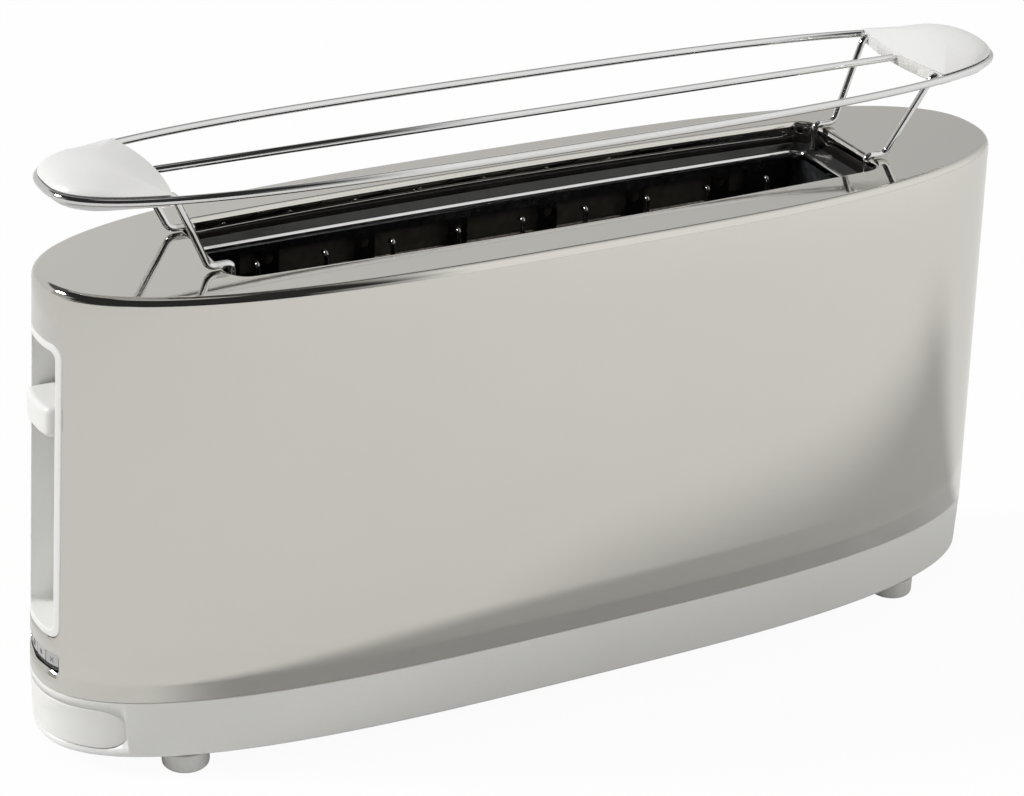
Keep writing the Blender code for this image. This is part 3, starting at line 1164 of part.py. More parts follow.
def build_keys():
    """Four push keys in a housing behind the window, and the switch board behind them."""
    middle_z = (KEY_LOW + KEY_HIGH) / 2
    key_skin = body_envelope("key_skin", SEAM_HEIGHT, BEZEL_HIGH, casing_halves, -KEY_RECESS)
    for i, name in enumerate(("key_browning", "key_reheat", "key_defrost", "key_stop")):
        y = -key_middle(i)
        pad = box(name, at_end(BEYOND_END, y - KEY_WIDTH / 2, KEY_LOW),
                  at_end(KEY_PAD_BACK, y + KEY_WIDTH / 2, KEY_HIGH), "grey_plastic")
        stem_run = (at_end(KEY_PAD_BACK + KEY_TRAVEL, y, middle_z), at_end(KEY_STEM_END, y, middle_z))
        stem = rods(name + "_stem", [stem_run], KEY_STEM_RADIUS, steps=10)
        boolean(pad, key_skin, "INTERSECT")
        boolean(pad, stem, "UNION")
        carry(empty(name + "_slide", at_end(KEY_PAD_BACK, y, middle_z)), pad)

    housing = box("key_housing", at_end(BEYOND_END, -KEY_WINDOW_HALF_WIDTH + GAP, KEY_WINDOW_LOW + GAP),
                  at_end(HOUSING_BACK, KEY_WINDOW_HALF_WIDTH - GAP, KEY_WINDOW_HIGH - GAP),
                  "dark_plastic", KEY_WINDOW_CORNER - GAP, 0, 2)
    skin = body_envelope("housing_skin", SEAM_HEIGHT, BEZEL_HIGH, casing_halves, -HOUSING_RECESS)
    pocket_half_width = KEY_WINDOW_HALF_WIDTH - GAP - HOUSING_WALL
    pocket = box("housing_pocket",
                 at_end(BEYOND_END + CUT_OVERRUN, -pocket_half_width, KEY_WINDOW_LOW + GAP + HOUSING_WALL),
                 at_end(HOUSING_POCKET_FLOOR, pocket_half_width, KEY_WINDOW_HIGH - HOUSING_WALL / 2))
    behind = bmesh.new()
    flange_back = HOUSING_BACK - HOUSING_FLANGE
    add_box(behind,
            at_end(HOUSING_BACK + HOUSING_FLANGE / 4, -HOUSING_FLANGE_HALF_WIDTH, HOUSING_FLANGE_LOW),
            at_end(flange_back, HOUSING_FLANGE_HALF_WIDTH, HOUSING_FLANGE_HIGH))
    boolean(housing, skin, "INTERSECT")
    boolean(housing, pocket, "DIFFERENCE")
    boolean(housing, mesh_object("housing_flange", behind, None), "UNION")
    posts = bmesh.new()
    for y in (-HOUSING_POST_Y, HOUSING_POST_Y):
        add_box(posts,
                at_end(flange_back + HOUSING_FLANGE / 4, y - HOUSING_POST / 2, middle_z - HOUSING_POST / 2),
                at_end(KEY_BOARD_X + GAP, y + HOUSING_POST / 2, middle_z + HOUSING_POST / 2))
    boolean(housing, mesh_object("housing_posts", posts, None), "UNION")
    bores = [(at_end(HOUSING_POCKET_FLOOR + CUT_OVERRUN / 2, key_middle(i), middle_z),
              at_end(flange_back - CUT_OVERRUN / 2, key_middle(i), middle_z)) for i in range(KEY_COUNT)]
    boolean(housing, rods("housing_bores", bores, KEY_STEM_RADIUS + GAP, steps=10), "DIFFERENCE")

    board = box("key_board", at_end(KEY_BOARD_X, -HOUSING_FLANGE_HALF_WIDTH, HOUSING_FLANGE_LOW),
                at_end(KEY_BOARD_X - KEY_BOARD_SHEET, HOUSING_FLANGE_HALF_WIDTH,
                       HOUSING_FLANGE_HIGH), "board")
    switches = bmesh.new()
    for i in range(KEY_COUNT):
        y = key_middle(i)
        add_box(switches,
                at_end(KEY_BOARD_X + SWITCH_HEIGHT, y - SWITCH_WIDTH / 2, middle_z - SWITCH_WIDTH / 2),
                at_end(KEY_BOARD_X - KEY_BOARD_SHEET / 2, y + SWITCH_WIDTH / 2, middle_z + SWITCH_WIDTH / 2))
    boolean(board, mesh_object("key_switches", switches, None), "UNION")


def build_control_board():
    """Board under the lower rod tab with its parts, and the magnet that holds the lever down."""
    board = box("control_board", at_end(BOARD_FAR_X, -BOARD_HALF_WIDTH, BOARD_TOP - BOARD_SHEET),
                at_end(BOARD_NEAR_X, BOARD_HALF_WIDTH, BOARD_TOP), "board")
    near_x = BOARD_NEAR_X + SPACER_INSET
    runs = [((-x, y, BOARD_TOP - BOARD_SHEET / 2), (-x, y, ROD_TAB_LOW - GAP))
            for x in (near_x, near_x + SPACER_PITCH) for y in (-SPACER_Y, SPACER_Y)]
    boolean(board, rods("board_spacers", runs, SPACER_RADIUS, steps=10), "UNION")
    low = BOARD_TOP + GAP
    box("relay", at_end(BOARD_FAR_X, RELAY_Y - RELAY_WIDTH / 2, low),
        at_end(BOARD_FAR_X - RELAY_LENGTH, RELAY_Y + RELAY_WIDTH / 2,
               low + RELAY_HEIGHT), "dark_plastic", BOX_EDGE)
    capacitor_x = -BOARD_FAR_X + RELAY_LENGTH / 2
    rods("capacitor",
         [((capacitor_x, -CAPACITOR_Y, low), (capacitor_x, -CAPACITOR_Y, low + CAPACITOR_HEIGHT))],
         CAPACITOR_RADIUS, "dark_plastic", 16)
    x = -LEFT_ROD_X
    magnet = rods("latch_magnet", [((x, 0.0, MAGNET_LOW), (x, 0.0, MAGNET_LOW + MAGNET_COIL_HEIGHT))],
                  MAGNET_COIL_RADIUS, "copper", 16)
    core_run = ((x, 0.0, MAGNET_LOW + MAGNET_COIL_HEIGHT / 2), (x, 0.0, MAGNET_HIGH))
    core = rods("magnet_core", [core_run], MAGNET_CORE_RADIUS)
    boolean(magnet, core, "UNION")


def build_supply():
    """Terminal block, the two leads to the control board and the gland for the mains cord."""
    start_x = TERMINAL_X - TERMINAL_LENGTH / 2
    terminal_y = TERMINAL_WIDTH / 2
    box("terminal_block", (start_x, -terminal_y, ON_FLOOR),
        (start_x + TERMINAL_LENGTH, terminal_y, ON_FLOOR + TERMINAL_HEIGHT), "white_plastic", BOX_EDGE)
    lead = LEAD_DIAMETER / 2
    start_x -= GAP
    start_z = ON_FLOOR + TERMINAL_HEIGHT / 2
    behind_plate = CHASSIS_OUTER_X + LEAD_DIAMETER
    board_edge = BOARD_HALF_WIDTH + GAP + lead
    for name, side in (("lead_front", -1), ("lead_back", 1)):
        stops = [(start_x, side * terminal_y / 2, start_z),
                 (start_x - LEAD_DIAMETER, side * terminal_y / 2, start_z),
                 (behind_plate + LEAD_DIAMETER, side * terminal_y, LEAD_HOLE_Z),
                 (behind_plate + LEAD_DIAMETER, side * LEAD_HOLE_Y, LEAD_HOLE_Z),
                 (-behind_plate, side * LEAD_HOLE_Y, LEAD_HOLE_Z),
                 (-BOARD_NEAR_X - LEAD_DIAMETER, side * board_edge, BOARD_TOP - BOARD_SHEET / 2),
                 (-BOARD_NEAR_X - 4 * LEAD_DIAMETER, side * board_edge, BOARD_TOP - BOARD_SHEET / 2)]
        wire(name, bent(stops, 2 * LEAD_DIAMETER), LEAD_DIAMETER, "lead_sleeve", 1)

    wall_y = plan_y(base_halves(GLAND_Z), GLAND_X)
    flange_start = wall_y + GAP
    profile_start = flange_start - GLAND_NECK_LENGTH
    neck_run = ((GLAND_X, profile_start, GLAND_Z), (GLAND_X, flange_start + GLAND_FLANGE_SHEET, GLAND_Z))
    gland = rods("cord_gland", [neck_run], GLAND_NECK_RADIUS, "rubber", 20)
    collar_y = flange_start + GLAND_FLANGE_SHEET / 4
    collar_run = ((GLAND_X, collar_y, GLAND_Z), (GLAND_X, collar_y + GLAND_FLANGE_SHEET, GLAND_Z))
    collar = rods("gland_collar", [collar_run], GLAND_FLANGE_RADIUS, steps=20)
    bore_run = ((GLAND_X, profile_start - CUT_OVERRUN, GLAND_Z),
                (GLAND_X, collar_y + 2 * CUT_OVERRUN, GLAND_Z))
    bore = rods("gland_bore", [bore_run], GLAND_BORE_RADIUS, steps=20)
    boolean(gland, collar, "UNION")
    boolean(gland, bore, "DIFFERENCE")


def build_screws():
    """Four screws from below, through the base, the floor plate and the feet of the chassis."""
    head_top = FOOT_HEIGHT - GAP
    head_low = head_top - SCREW_HEAD_HEIGHT
    tip = ON_FLOOR + CHASSIS_SHEET + SCREW_TIP
    profile = [(0.0, tip), (SCREW_SHANK_RADIUS, tip), (SCREW_SHANK_RADIUS, head_top),
               (SCREW_HEAD_RADIUS, head_top),
               (SCREW_HEAD_RADIUS, head_low), (0.0, head_low)]
    for name, x, y in screw_places():
        turned(name, profile, "spring_steel", 12, (x, y, 0.0))


def rack_point(half_length, half_width, turn):
    """Return a point of the rack's oval."""
    return plan_point(half_length, half_width, turn, RACK_END_POWER, RACK_SIDE_POWER)


def rack_y(half_length, half_width, x):
    """Return how far the rack's oval reaches along Y at a distance x from its middle."""
    return half_width * (1 - abs(x / half_length) ** RACK_END_POWER) ** (1 / RACK_SIDE_POWER)


def cap_outline():
    """Return the plan of the right cap: the end of the rack's oval and an inner edge that bows in."""
    inset = RACK_WIRE / 2 + GAP
    half_length, half_width = RACK_LENGTH / 2 - inset, RACK_WIDTH / 2 - inset
    corner_x = CAP_INNER_X + CAP_INNER_SWEEP
    corner_y = rack_y(half_length, half_width, corner_x)
    outline = []
    for i in range(CAP_OUTER_STEPS + 1):
        share = 2 * i / CAP_OUTER_STEPS - 1
        y = corner_y * sin(share * pi / 2)
        reach = half_length * (1 - abs(y / half_width) ** RACK_SIDE_POWER) ** (1 / RACK_END_POWER)
        outline.append((reach, y))
    for i in range(1, CAP_INNER_STEPS):
        share = 1 - 2 * i / CAP_INNER_STEPS
        outline.append((CAP_INNER_X + CAP_INNER_SWEEP * share ** 2, corner_y * share))
    return outline


def build_cap(name, side):
    """White end cap of the rack: domed on top, bellied below, clipped inside the wire oval."""
    outline = cap_outline()
    middle_x = CAP_INNER_X + CAP_LENGTH * CAP_CROWN_LEAN
    if side < 0:
        outline = [(-x, -y) for x, y in outline]
        middle_x = -middle_x

    def ring(scale, height):
        """Return the outline drawn in towards its middle at a height."""
        return [(middle_x + (x - middle_x) * scale, y * scale, height) for x, y in outline]

    rings = []
    for i in range(CAP_BELLY_STEPS):
        turn = pi / 2 * (1 - i / CAP_BELLY_STEPS) * CAP_CROWN_SHARE
        rings.append(ring(cos(turn), RACK_HEIGHT - CAP_RIM_DOWN - CAP_BELLY * sin(turn)))
    rings.append(ring(1.0, RACK_HEIGHT - CAP_RIM_DOWN))
    rings.append(ring(1.0, RACK_HEIGHT + CAP_RIM_UP))
    for i in range(1, CAP_DOME_STEPS + 1):
        scale = 1 - i / CAP_DOME_STEPS * CAP_CROWN_SHARE
        rings.append(ring(scale, RACK_HEIGHT + CAP_RIM_UP + CAP_DOME * (1 - scale ** CAP_DOME_POWER)))
    cap = loft(name, rings, "white_plastic", closed=True)
    holes = bmesh.new()
    start_x = side * (CAP_INNER_X - CUT_OVERRUN)
    add_rod(holes, (start_x, 0.0, RACK_HEIGHT),
            (side * (CAP_INNER_X + MIDDLE_WIRE_SINK + GAP), 0.0, RACK_HEIGHT),
            MIDDLE_WIRE / 2 + GAP, 10)
    for y in (-LEG_TOP_Y, LEG_TOP_Y):
        add_rod(holes, (start_x, y, RACK_HEIGHT), (side * (LEG_SINK_X + GAP), y, RACK_HEIGHT),
                LEG_WIRE / 2 + GAP, 10)
    boolean(cap, mesh_object(name + "_sockets", holes, None), "DIFFERENCE")
    return cap


def build_leg(name, side_x, side_y):
    """Rack leg: out of the cap, down to the deck, along it and hooked into the slot corner."""
    deck_z = RIM_HEIGHT + GAP + LEG_WIRE / 2
    stops = [(LEG_SINK_X, LEG_TOP_Y, RACK_HEIGHT), (LEG_TOP_X, LEG_TOP_Y, RACK_HEIGHT),
             (LEG_SHOULDER_X, LEG_FOOT_Y, deck_z), (LEG_FOOT_X, LEG_FOOT_Y, deck_z),
             (LEG_FOOT_X, LEG_FOOT_Y, FRAME_TOP + GAP)]
    path = bent([(side_x * x, side_y * y, z) for x, y, z in stops], LEG_BEND)
    return wire(name, path, LEG_WIRE, "bright_chrome")


def build_rack():
    """Lift-off warming rack: wire oval, middle wire, two end caps and four legs."""
    half_length, half_width = RACK_LENGTH / 2, RACK_WIDTH / 2
    path = [(*rack_point(half_length, half_width, 2 * pi * i / RACK_STEPS), RACK_HEIGHT)
            for i in range(RACK_STEPS)]
    loop = wire("rack_loop", path, RACK_WIRE, "bright_chrome", cyclic=True)
    reach = CAP_INNER_X + MIDDLE_WIRE_SINK
    middle = wire("rack_middle_wire",
                  [(-reach, 0.0, RACK_HEIGHT), (0.0, 0.0, RACK_HEIGHT), (reach, 0.0, RACK_HEIGHT)],
                  MIDDLE_WIRE, "bright_chrome")
    pieces = [loop, middle, build_cap("rack_cap_left", -1), build_cap("rack_cap_right", 1)]
    for end, side_x in (("left", -1), ("right", 1)):
        for face, side_y in (("front", -1), ("back", 1)):
            pieces.append(build_leg("rack_leg_" + end + "_" + face, side_x, side_y))
    carry(empty("rack_lift", (0.0, 0.0, RACK_HEIGHT)), *pieces)


build_casing_shell()
build_slot_frame()
build_base_skirt()
build_floor_plate()
build_feet()
build_crumb_tray()
build_end_plate("chassis_end_left", -1, LEFT_TAB_REACH, LEFT_TAB_HALF_WIDTH, LEFT_ROD_X,
                (-LEFT_ROD_Y, LEFT_ROD_Y))
build_end_plate("chassis_end_right", 1, RIGHT_TAB_REACH, RIGHT_TAB_HALF_WIDTH, RIGHT_ROD_X, (0.0,))
build_chamber_side("front", -1)
build_chamber_side("back", 1)
build_bread_guide("bread_guide_front", -1)
build_bread_guide("bread_guide_back", 1)
build_lever()
build_guide_rods()
build_lift_spring()
build_lever_bezel()
build_keys()
build_control_board()
build_supply()
build_screws()
build_rack()
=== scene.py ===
"""Looks for the long toaster with a lift-off warming rack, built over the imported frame.

The visible pieces are made again here as fine meshes in the places of their CAD nodes. The
hidden ones keep their CAD mesh and get a procedural finish. Metres, +Z up, the lever end at -X.
"""
from __future__ import annotations

import logging
from dataclasses import dataclass
from enum import Enum
from math import atan2, copysign, cos, pi, sin
from typing import Callable, Sequence

import bmesh
import bpy
from mathutils import Matrix, Vector


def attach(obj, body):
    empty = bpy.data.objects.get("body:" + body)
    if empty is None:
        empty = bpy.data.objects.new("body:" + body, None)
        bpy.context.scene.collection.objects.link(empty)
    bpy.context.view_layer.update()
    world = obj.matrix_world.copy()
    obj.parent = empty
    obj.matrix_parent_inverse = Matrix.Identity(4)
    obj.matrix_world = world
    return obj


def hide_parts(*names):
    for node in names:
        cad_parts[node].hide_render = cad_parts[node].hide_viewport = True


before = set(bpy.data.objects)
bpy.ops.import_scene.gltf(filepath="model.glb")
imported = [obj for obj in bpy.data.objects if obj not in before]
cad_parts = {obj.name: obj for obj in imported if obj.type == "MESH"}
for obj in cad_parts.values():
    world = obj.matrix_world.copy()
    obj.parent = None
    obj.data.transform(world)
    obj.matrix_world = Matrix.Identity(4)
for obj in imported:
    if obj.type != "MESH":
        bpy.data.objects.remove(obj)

Point = tuple[float, float, float]
Flat = tuple[float, float]
Colour = tuple[float, float, float]
Halves = Callable[[float], Flat]

log = logging.getLogger("toaster")
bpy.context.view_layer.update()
BEYOND_END = 0.212


class Body(str, Enum):
    """The moving bodies that pieces ride on."""

    CASING = "casing"
    LEVER = "lever"
    GUIDE_FRONT = "guide_front"
    GUIDE_BACK = "guide_back"
    BROWNING = "browning_key"
    REHEAT = "reheat_key"
    DEFROST = "defrost_key"
    STOP = "stop_key"
    TRAY = "tray"
    RACK = "rack"


class Texture(Enum):
    """How the skin of a finish varies."""

    POLISHED = "polished"
    MOULDED = "moulded"
    SHEET = "sheet"
    MINERAL = "mineral"


class NodeBoard:
    """A node tree with short calls for adding and linking its nodes."""

    def __init__(self, tree: bpy.types.NodeTree) -> None:
        """Keep the tree."""
        self.tree = tree

    def add(self, kind: str, **settings: object) -> bpy.types.Node:
        """Add a node.

        Args:
            kind: Blender's node type.
            settings: values for the node's own properties.

        Returns:
            The new node.
        """
        node = self.tree.nodes.new(kind)
        for name, value in settings.items():
            setattr(node, name, value)
        return node

    def put(self, node: bpy.types.Node, **values: object) -> bpy.types.Node:
        """Set input sockets by name, with underscores for spaces.

        Args:
            node: the node to set.
            values: a value, or a socket to link from, for each input.

        Returns:
            The same node.
        """
        for name, value in values.items():
            socket = node.inputs[name.replace("_", " ")]
            if isinstance(value, bpy.types.NodeSocket):
                self.tree.links.new(value, socket)
            else:
                socket.default_value = value
        return node

    def link(self, source: bpy.types.NodeSocket, target: bpy.types.NodeSocket) -> None:
        """Link two sockets."""
        self.tree.links.new(source, target)

    def noise(self, place: bpy.types.NodeSocket, scale: float, detail: float = 3.0,
              rough: float = 0.5) -> bpy.types.NodeSocket:
        """Add a noise texture.

        Args:
            place: the coordinates to read.
            scale: waves in a metre.
            detail: number of finer layers.
            rough: how strong the finer layers are.

        Returns:
            Its value socket.
        """
        node = self.add("ShaderNodeTexNoise")
        self.put(node, Vector=place, Scale=scale, Detail=detail, Roughness=rough)
        return node.outputs["Fac"]

    def span(self, value: bpy.types.NodeSocket, low: float, high: float,
             to_low: float = 0.0, to_high: float = 1.0, smooth: bool = False) -> bpy.types.NodeSocket:
        """Map a value from one range to another, clamped.

        Args:
            value: the socket to map.
            low: start of the range read.
            high: end of the range read.
            to_low: result at the start.
            to_high: result at the end.
            smooth: whether the passage is eased.

        Returns:
            The mapped socket.
        """
        node = self.add("ShaderNodeMapRange", interpolation_type="SMOOTHSTEP" if smooth else "LINEAR")
        self.put(node, Value=value, From_Min=low, From_Max=high, To_Min=to_low, To_Max=to_high)
        return node.outputs["Result"]

    def maths(self, operation: str, first: object, second: object = 0.0) -> bpy.types.NodeSocket:
        """Combine two values.

        Args:
            operation: Blender's name of the sum.
            first: a number or socket.
            second: a number or socket.

        Returns:
            The result socket.
        """
        node = self.add("ShaderNodeMath", operation=operation)
        for socket, value in zip(node.inputs, (first, second)):
            if isinstance(value, bpy.types.NodeSocket):
                self.tree.links.new(value, socket)
            else:
                socket.default_value = value
        return node.outputs["Value"]

    def blend(self, share: object, first: object, second: object) -> bpy.types.NodeSocket:
        """Mix two colours.

        Args:
            share: how much of the second, a number or socket.
            first: a colour or socket.
            second: a colour or socket.

        Returns:
            The mixed colour socket.
        """
        node = self.add("ShaderNodeMix", data_type="RGBA")
        for index, value in ((0, share), (6, first), (7, second)):
            socket = node.inputs[index]
            if isinstance(value, bpy.types.NodeSocket):
                self.tree.links.new(value, socket)
            elif isinstance(value, tuple):
                socket.default_value = (*value[:3], 1.0)
            else:
                socket.default_value = value
        return node.outputs[2]


class SkinGroup(Enum):
    """The shared shader node groups."""

    DRIFT = "colour_drift"
    SCRATCH = "fine_scratches"
    SPECKLE = "fine_speckle"
    DUST = "settled_dust"

    def tree(self) -> bpy.types.NodeTree:
        """Return the group's node tree, made on first use."""
        found = bpy.data.node_groups.get(self.value)
        if found:
            return found
        tree = bpy.data.node_groups.new(self.value, "ShaderNodeTree")
        makers = {SkinGroup.DRIFT: self.make_drift, SkinGroup.SCRATCH: self.make_scratch,
                  SkinGroup.SPECKLE: self.make_speckle, SkinGroup.DUST: self.make_dust}
        makers[self](tree)
        return tree

    @staticmethod
    def sockets(tree: bpy.types.NodeTree, inputs: Sequence[tuple[str, str]],
                outputs: Sequence[tuple[str, str]]) -> tuple[bpy.types.Node, bpy.types.Node]:
        """Give a group its sockets.

        Args:
            tree: the group's tree.
            inputs: name and kind of each input.
            outputs: name and kind of each output.

        Returns:
            The group's input and output nodes.
        """
        for name, kind in inputs:
            tree.interface.new_socket(name=name, in_out="INPUT", socket_type="NodeSocket" + kind)
        for name, kind in outputs:
            tree.interface.new_socket(name=name, in_out="OUTPUT", socket_type="NodeSocket" + kind)
        return tree.nodes.new("NodeGroupInput"), tree.nodes.new("NodeGroupOutput")

    def make_drift(self, tree: bpy.types.NodeTree) -> None:
        """Slow clouds of a second colour, with a mask for roughness."""
        given, result = self.sockets(tree, [("Colour", "Color"), ("Second", "Color"), ("Scale", "Float"),
                                            ("Amount", "Float")], [("Colour", "Color"), ("Mask", "Float")])
        board = NodeBoard(tree)
        place = board.add("ShaderNodeTexCoord").outputs["Object"]
        cloud = board.add("ShaderNodeTexNoise")
        board.put(cloud, Vector=place, Scale=given.outputs["Scale"], Detail=4.0, Roughness=0.55)
        mask = board.span(cloud.outputs["Fac"], 0.32, 0.68, smooth=True)
        share = board.maths("MULTIPLY", mask, given.outputs["Amount"])
        board.link(board.blend(share, given.outputs["Colour"], given.outputs["Second"]),
                   result.inputs["Colour"])
        board.link(mask, result.inputs["Mask"])

    def make_scratch(self, tree: bpy.types.NodeTree) -> None:
        """Long hair-fine scratches."""
        given, result = self.sockets(tree, [("Scale", "Float"), ("Stretch", "Vector")],
                                     [("Mask", "Float"), ("Height", "Float")])
        board = NodeBoard(tree)
        place = board.add("ShaderNodeTexCoord").outputs["Object"]
        drawn = board.add("ShaderNodeMapping", vector_type="TEXTURE")
        board.put(drawn, Vector=place, Scale=given.outputs["Stretch"])
        hair = board.add("ShaderNodeTexNoise")
        board.put(hair, Vector=drawn.outputs["Vector"], Scale=given.outputs["Scale"], Detail=6.0,
                  Roughness=0.7)
        board.link(board.span(hair.outputs["Fac"], 0.52, 0.74), result.inputs["Mask"])
        board.link(hair.outputs["Fac"], result.inputs["Height"])

    def make_speckle(self, tree: bpy.types.NodeTree) -> None:
        """Small flakes and grains."""
        given, result = self.sockets(tree, [("Scale", "Float")], [("Mask", "Float"), ("Height", "Float")])
        board = NodeBoard(tree)
        place = board.add("ShaderNodeTexCoord").outputs["Object"]
        cells = board.add("ShaderNodeTexVoronoi", feature="F1")
        board.put(cells, Vector=place, Scale=given.outputs["Scale"])
        grain = board.add("ShaderNodeTexNoise")
        board.put(grain, Vector=place, Scale=given.outputs["Scale"], Detail=5.0)
        mixed = board.maths("MULTIPLY", cells.outputs["Distance"], grain.outputs["Fac"])
        board.link(board.span(mixed, 0.1, 0.42), result.inputs["Mask"])
        board.link(grain.outputs["Fac"], result.inputs["Height"])

    def make_dust(self, tree: bpy.types.NodeTree) -> None:
        """A thin cover that lies on faces that look up."""
        given, result = self.sockets(tree, [("Colour", "Color"), ("Dust", "Color"), ("Amount", "Float")],
                                     [("Colour", "Color"), ("Mask", "Float")])
        board = NodeBoard(tree)
        facing = board.add("ShaderNodeSeparateXYZ")
        board.put(facing, Vector=board.add("ShaderNodeNewGeometry").outputs["Normal"])
        place = board.add("ShaderNodeTexCoord").outputs["Object"]
        lies = board.span(facing.outputs["Z"], 0.3, 1.0, smooth=True)
        patch = board.span(board.noise(place, 90.0, 5.0, 0.6), 0.35, 0.7)
        mask = board.maths("MULTIPLY", board.maths("MULTIPLY", lies, patch), given.outputs["Amount"])
        board.link(board.blend(mask, given.outputs["Colour"], given.outputs["Dust"]),
                   result.inputs["Colour"])
        board.link(mask, result.inputs["Mask"])


@dataclass(frozen=True)
class Finish:
    """One finish: its colours, gloss and the texture of its skin."""

    name: str
    slot: str
    colour: Colour
    second: Colour
    roughness: float
    spread: float
    metallic: float
    texture: Texture
    grain: float
    depth: float
    stretch: Point = (1.0, 1.0, 1.0)
    drift_scale: float = 12.0
    drift: float = 0.5
    dust: float = 0.0

    def group(self, board: NodeBoard, which: SkinGroup, **values: object) -> bpy.types.Node:
        """Place a shared group in this finish's tree.

        Args:
            board: the material's tree.
            which: the shared group.
            values: its inputs.

        Returns:
            The group node.
        """
        node = board.add("ShaderNodeGroup", node_tree=which.tree())
        return board.put(node, **values)

    def material(self) -> bpy.types.Material:
        """Return the material, made on first use."""
        title = self.name + "_skin"
        found = bpy.data.materials.get(title)
        if found:
            return found
        made = bpy.data.materials.new(title)
        made.use_nodes = True
        board = NodeBoard(made.node_tree)
        shader = made.node_tree.nodes["Principled BSDF"]
        shader.inputs["Metallic"].default_value = self.metallic
        drift = self.group(board, SkinGroup.DRIFT, Colour=(*self.colour, 1.0), Second=(*self.second, 1.0),
                           Scale=self.drift_scale, Amount=self.drift)
        colour, soft = drift.outputs["Colour"], drift.outputs["Mask"]
        if self.texture in (Texture.POLISHED, Texture.SHEET):
            skin = self.group(board, SkinGroup.SCRATCH, Scale=self.grain, Stretch=self.stretch)
        else:
            skin = self.group(board, SkinGroup.SPECKLE, Scale=self.grain)
        mark = skin.outputs["Mask"]
        if self.texture is not Texture.POLISHED:
            share = board.maths("MULTIPLY", mark, 0.25 if self.texture is Texture.MOULDED else 0.7)
            colour = board.blend(share, colour, self.second)
        if self.dust:
            cover = self.group(board, SkinGroup.DUST, Colour=colour, Dust=(0.42, 0.38, 0.32, 1.0),
                               Amount=self.dust)
            colour = cover.outputs["Colour"]
        board.link(colour, shader.inputs["Base Color"])
        both = board.maths("ADD", board.maths("MULTIPLY", soft, 0.5), board.maths("MULTIPLY", mark, 0.5))
        board.link(board.span(both, 0.0, 1.0, max(0.02, self.roughness - self.spread),
                              self.roughness + self.spread),
                   shader.inputs["Roughness"])
        bump = board.add("ShaderNodeBump")
        board.put(bump, Height=skin.outputs["Height"], Strength=1.0, Distance=self.depth)
        board.link(bump.outputs["Normal"], shader.inputs["Normal"])
        return made


STEEL = Finish("mirror_steel", "polished_steel", (0.68, 0.66, 0.625), (0.65, 0.635, 0.605), 0.055, 0.02, 1.0,
               Texture.POLISHED, 26.0, 0.00004, (6.0, 6.0, 1.0), 5.0, 0.6)
CHROME = Finish("bright_chrome", "bright_chrome", (0.74, 0.74, 0.74), (0.66, 0.66, 0.66), 0.05, 0.02, 1.0,
                Texture.POLISHED, 60.0, 0.00002, (8.0, 1.0, 1.0), 20.0, 0.4)
# Bright chrome of the bread guides, darkened to the look the wires have in the shade of the slot: painted
# shade.
GUIDE_CHROME_PAINTED_SHADE = Finish("guide_wire_painted_shade", "bright_chrome", (0.42, 0.41, 0.40), (0.22, 0.21, 0.20), 0.12, 0.06, 1.0,
               Texture.POLISHED, 80.0, 0.00003, (1.0, 1.0, 6.0), 30.0, 0.7)
WHITE = Finish("white_moulding", "white_plastic", (0.80, 0.80, 0.79), (0.76, 0.76, 0.745), 0.33, 0.05, 0.0,
               Texture.MOULDED, 900.0, 0.000012, drift_scale=14.0, drift=0.5)
GREY = Finish("grey_keycap", "grey_plastic", (0.44, 0.44, 0.44), (0.40, 0.40, 0.40), 0.38, 0.06, 0.0,
              Texture.MOULDED, 1200.0, 0.000015, drift_scale=60.0)
DARK = Finish("dark_moulding", "dark_plastic", (0.07, 0.07, 0.07), (0.05, 0.05, 0.05), 0.45, 0.08, 0.0,
              Texture.MOULDED, 800.0, 0.00002, drift_scale=40.0, dust=0.15)
PLATED = Finish("plated_sheet", "plated_sheet", (0.50, 0.52, 0.55), (0.34, 0.36, 0.39), 0.34, 0.10, 1.0,
                Texture.MINERAL, 420.0, 0.00002, drift_scale=30.0, dust=0.2)
DARK_SHEET = Finish("heated_sheet", "dark_sheet", (0.11, 0.11, 0.115), (0.05, 0.05, 0.055), 0.32, 0.10, 1.0,
                    Texture.MINERAL, 300.0, 0.00003, drift_scale=35.0, dust=0.05)
# Black glossy finish of the recessed slot ledge: painted shade, standing in for the dark interior that the
# ledge lies in and mirrors.
LEDGE_PAINTED_SHADE = Finish("slot_ledge_painted_shade", "dark_sheet", (0.018, 0.018, 0.019), (0.012, 0.012, 0.012), 0.16, 0.05, 0.0,
                Texture.MINERAL, 260.0, 0.00001, drift_scale=30.0, dust=0.04)
SPRING = Finish("spring_steel", "spring_steel", (0.50, 0.50, 0.50), (0.38, 0.38, 0.38), 0.28, 0.08, 1.0,
                Texture.SHEET, 300.0, 0.00002, (1.0, 6.0, 6.0), 40.0, dust=0.1)
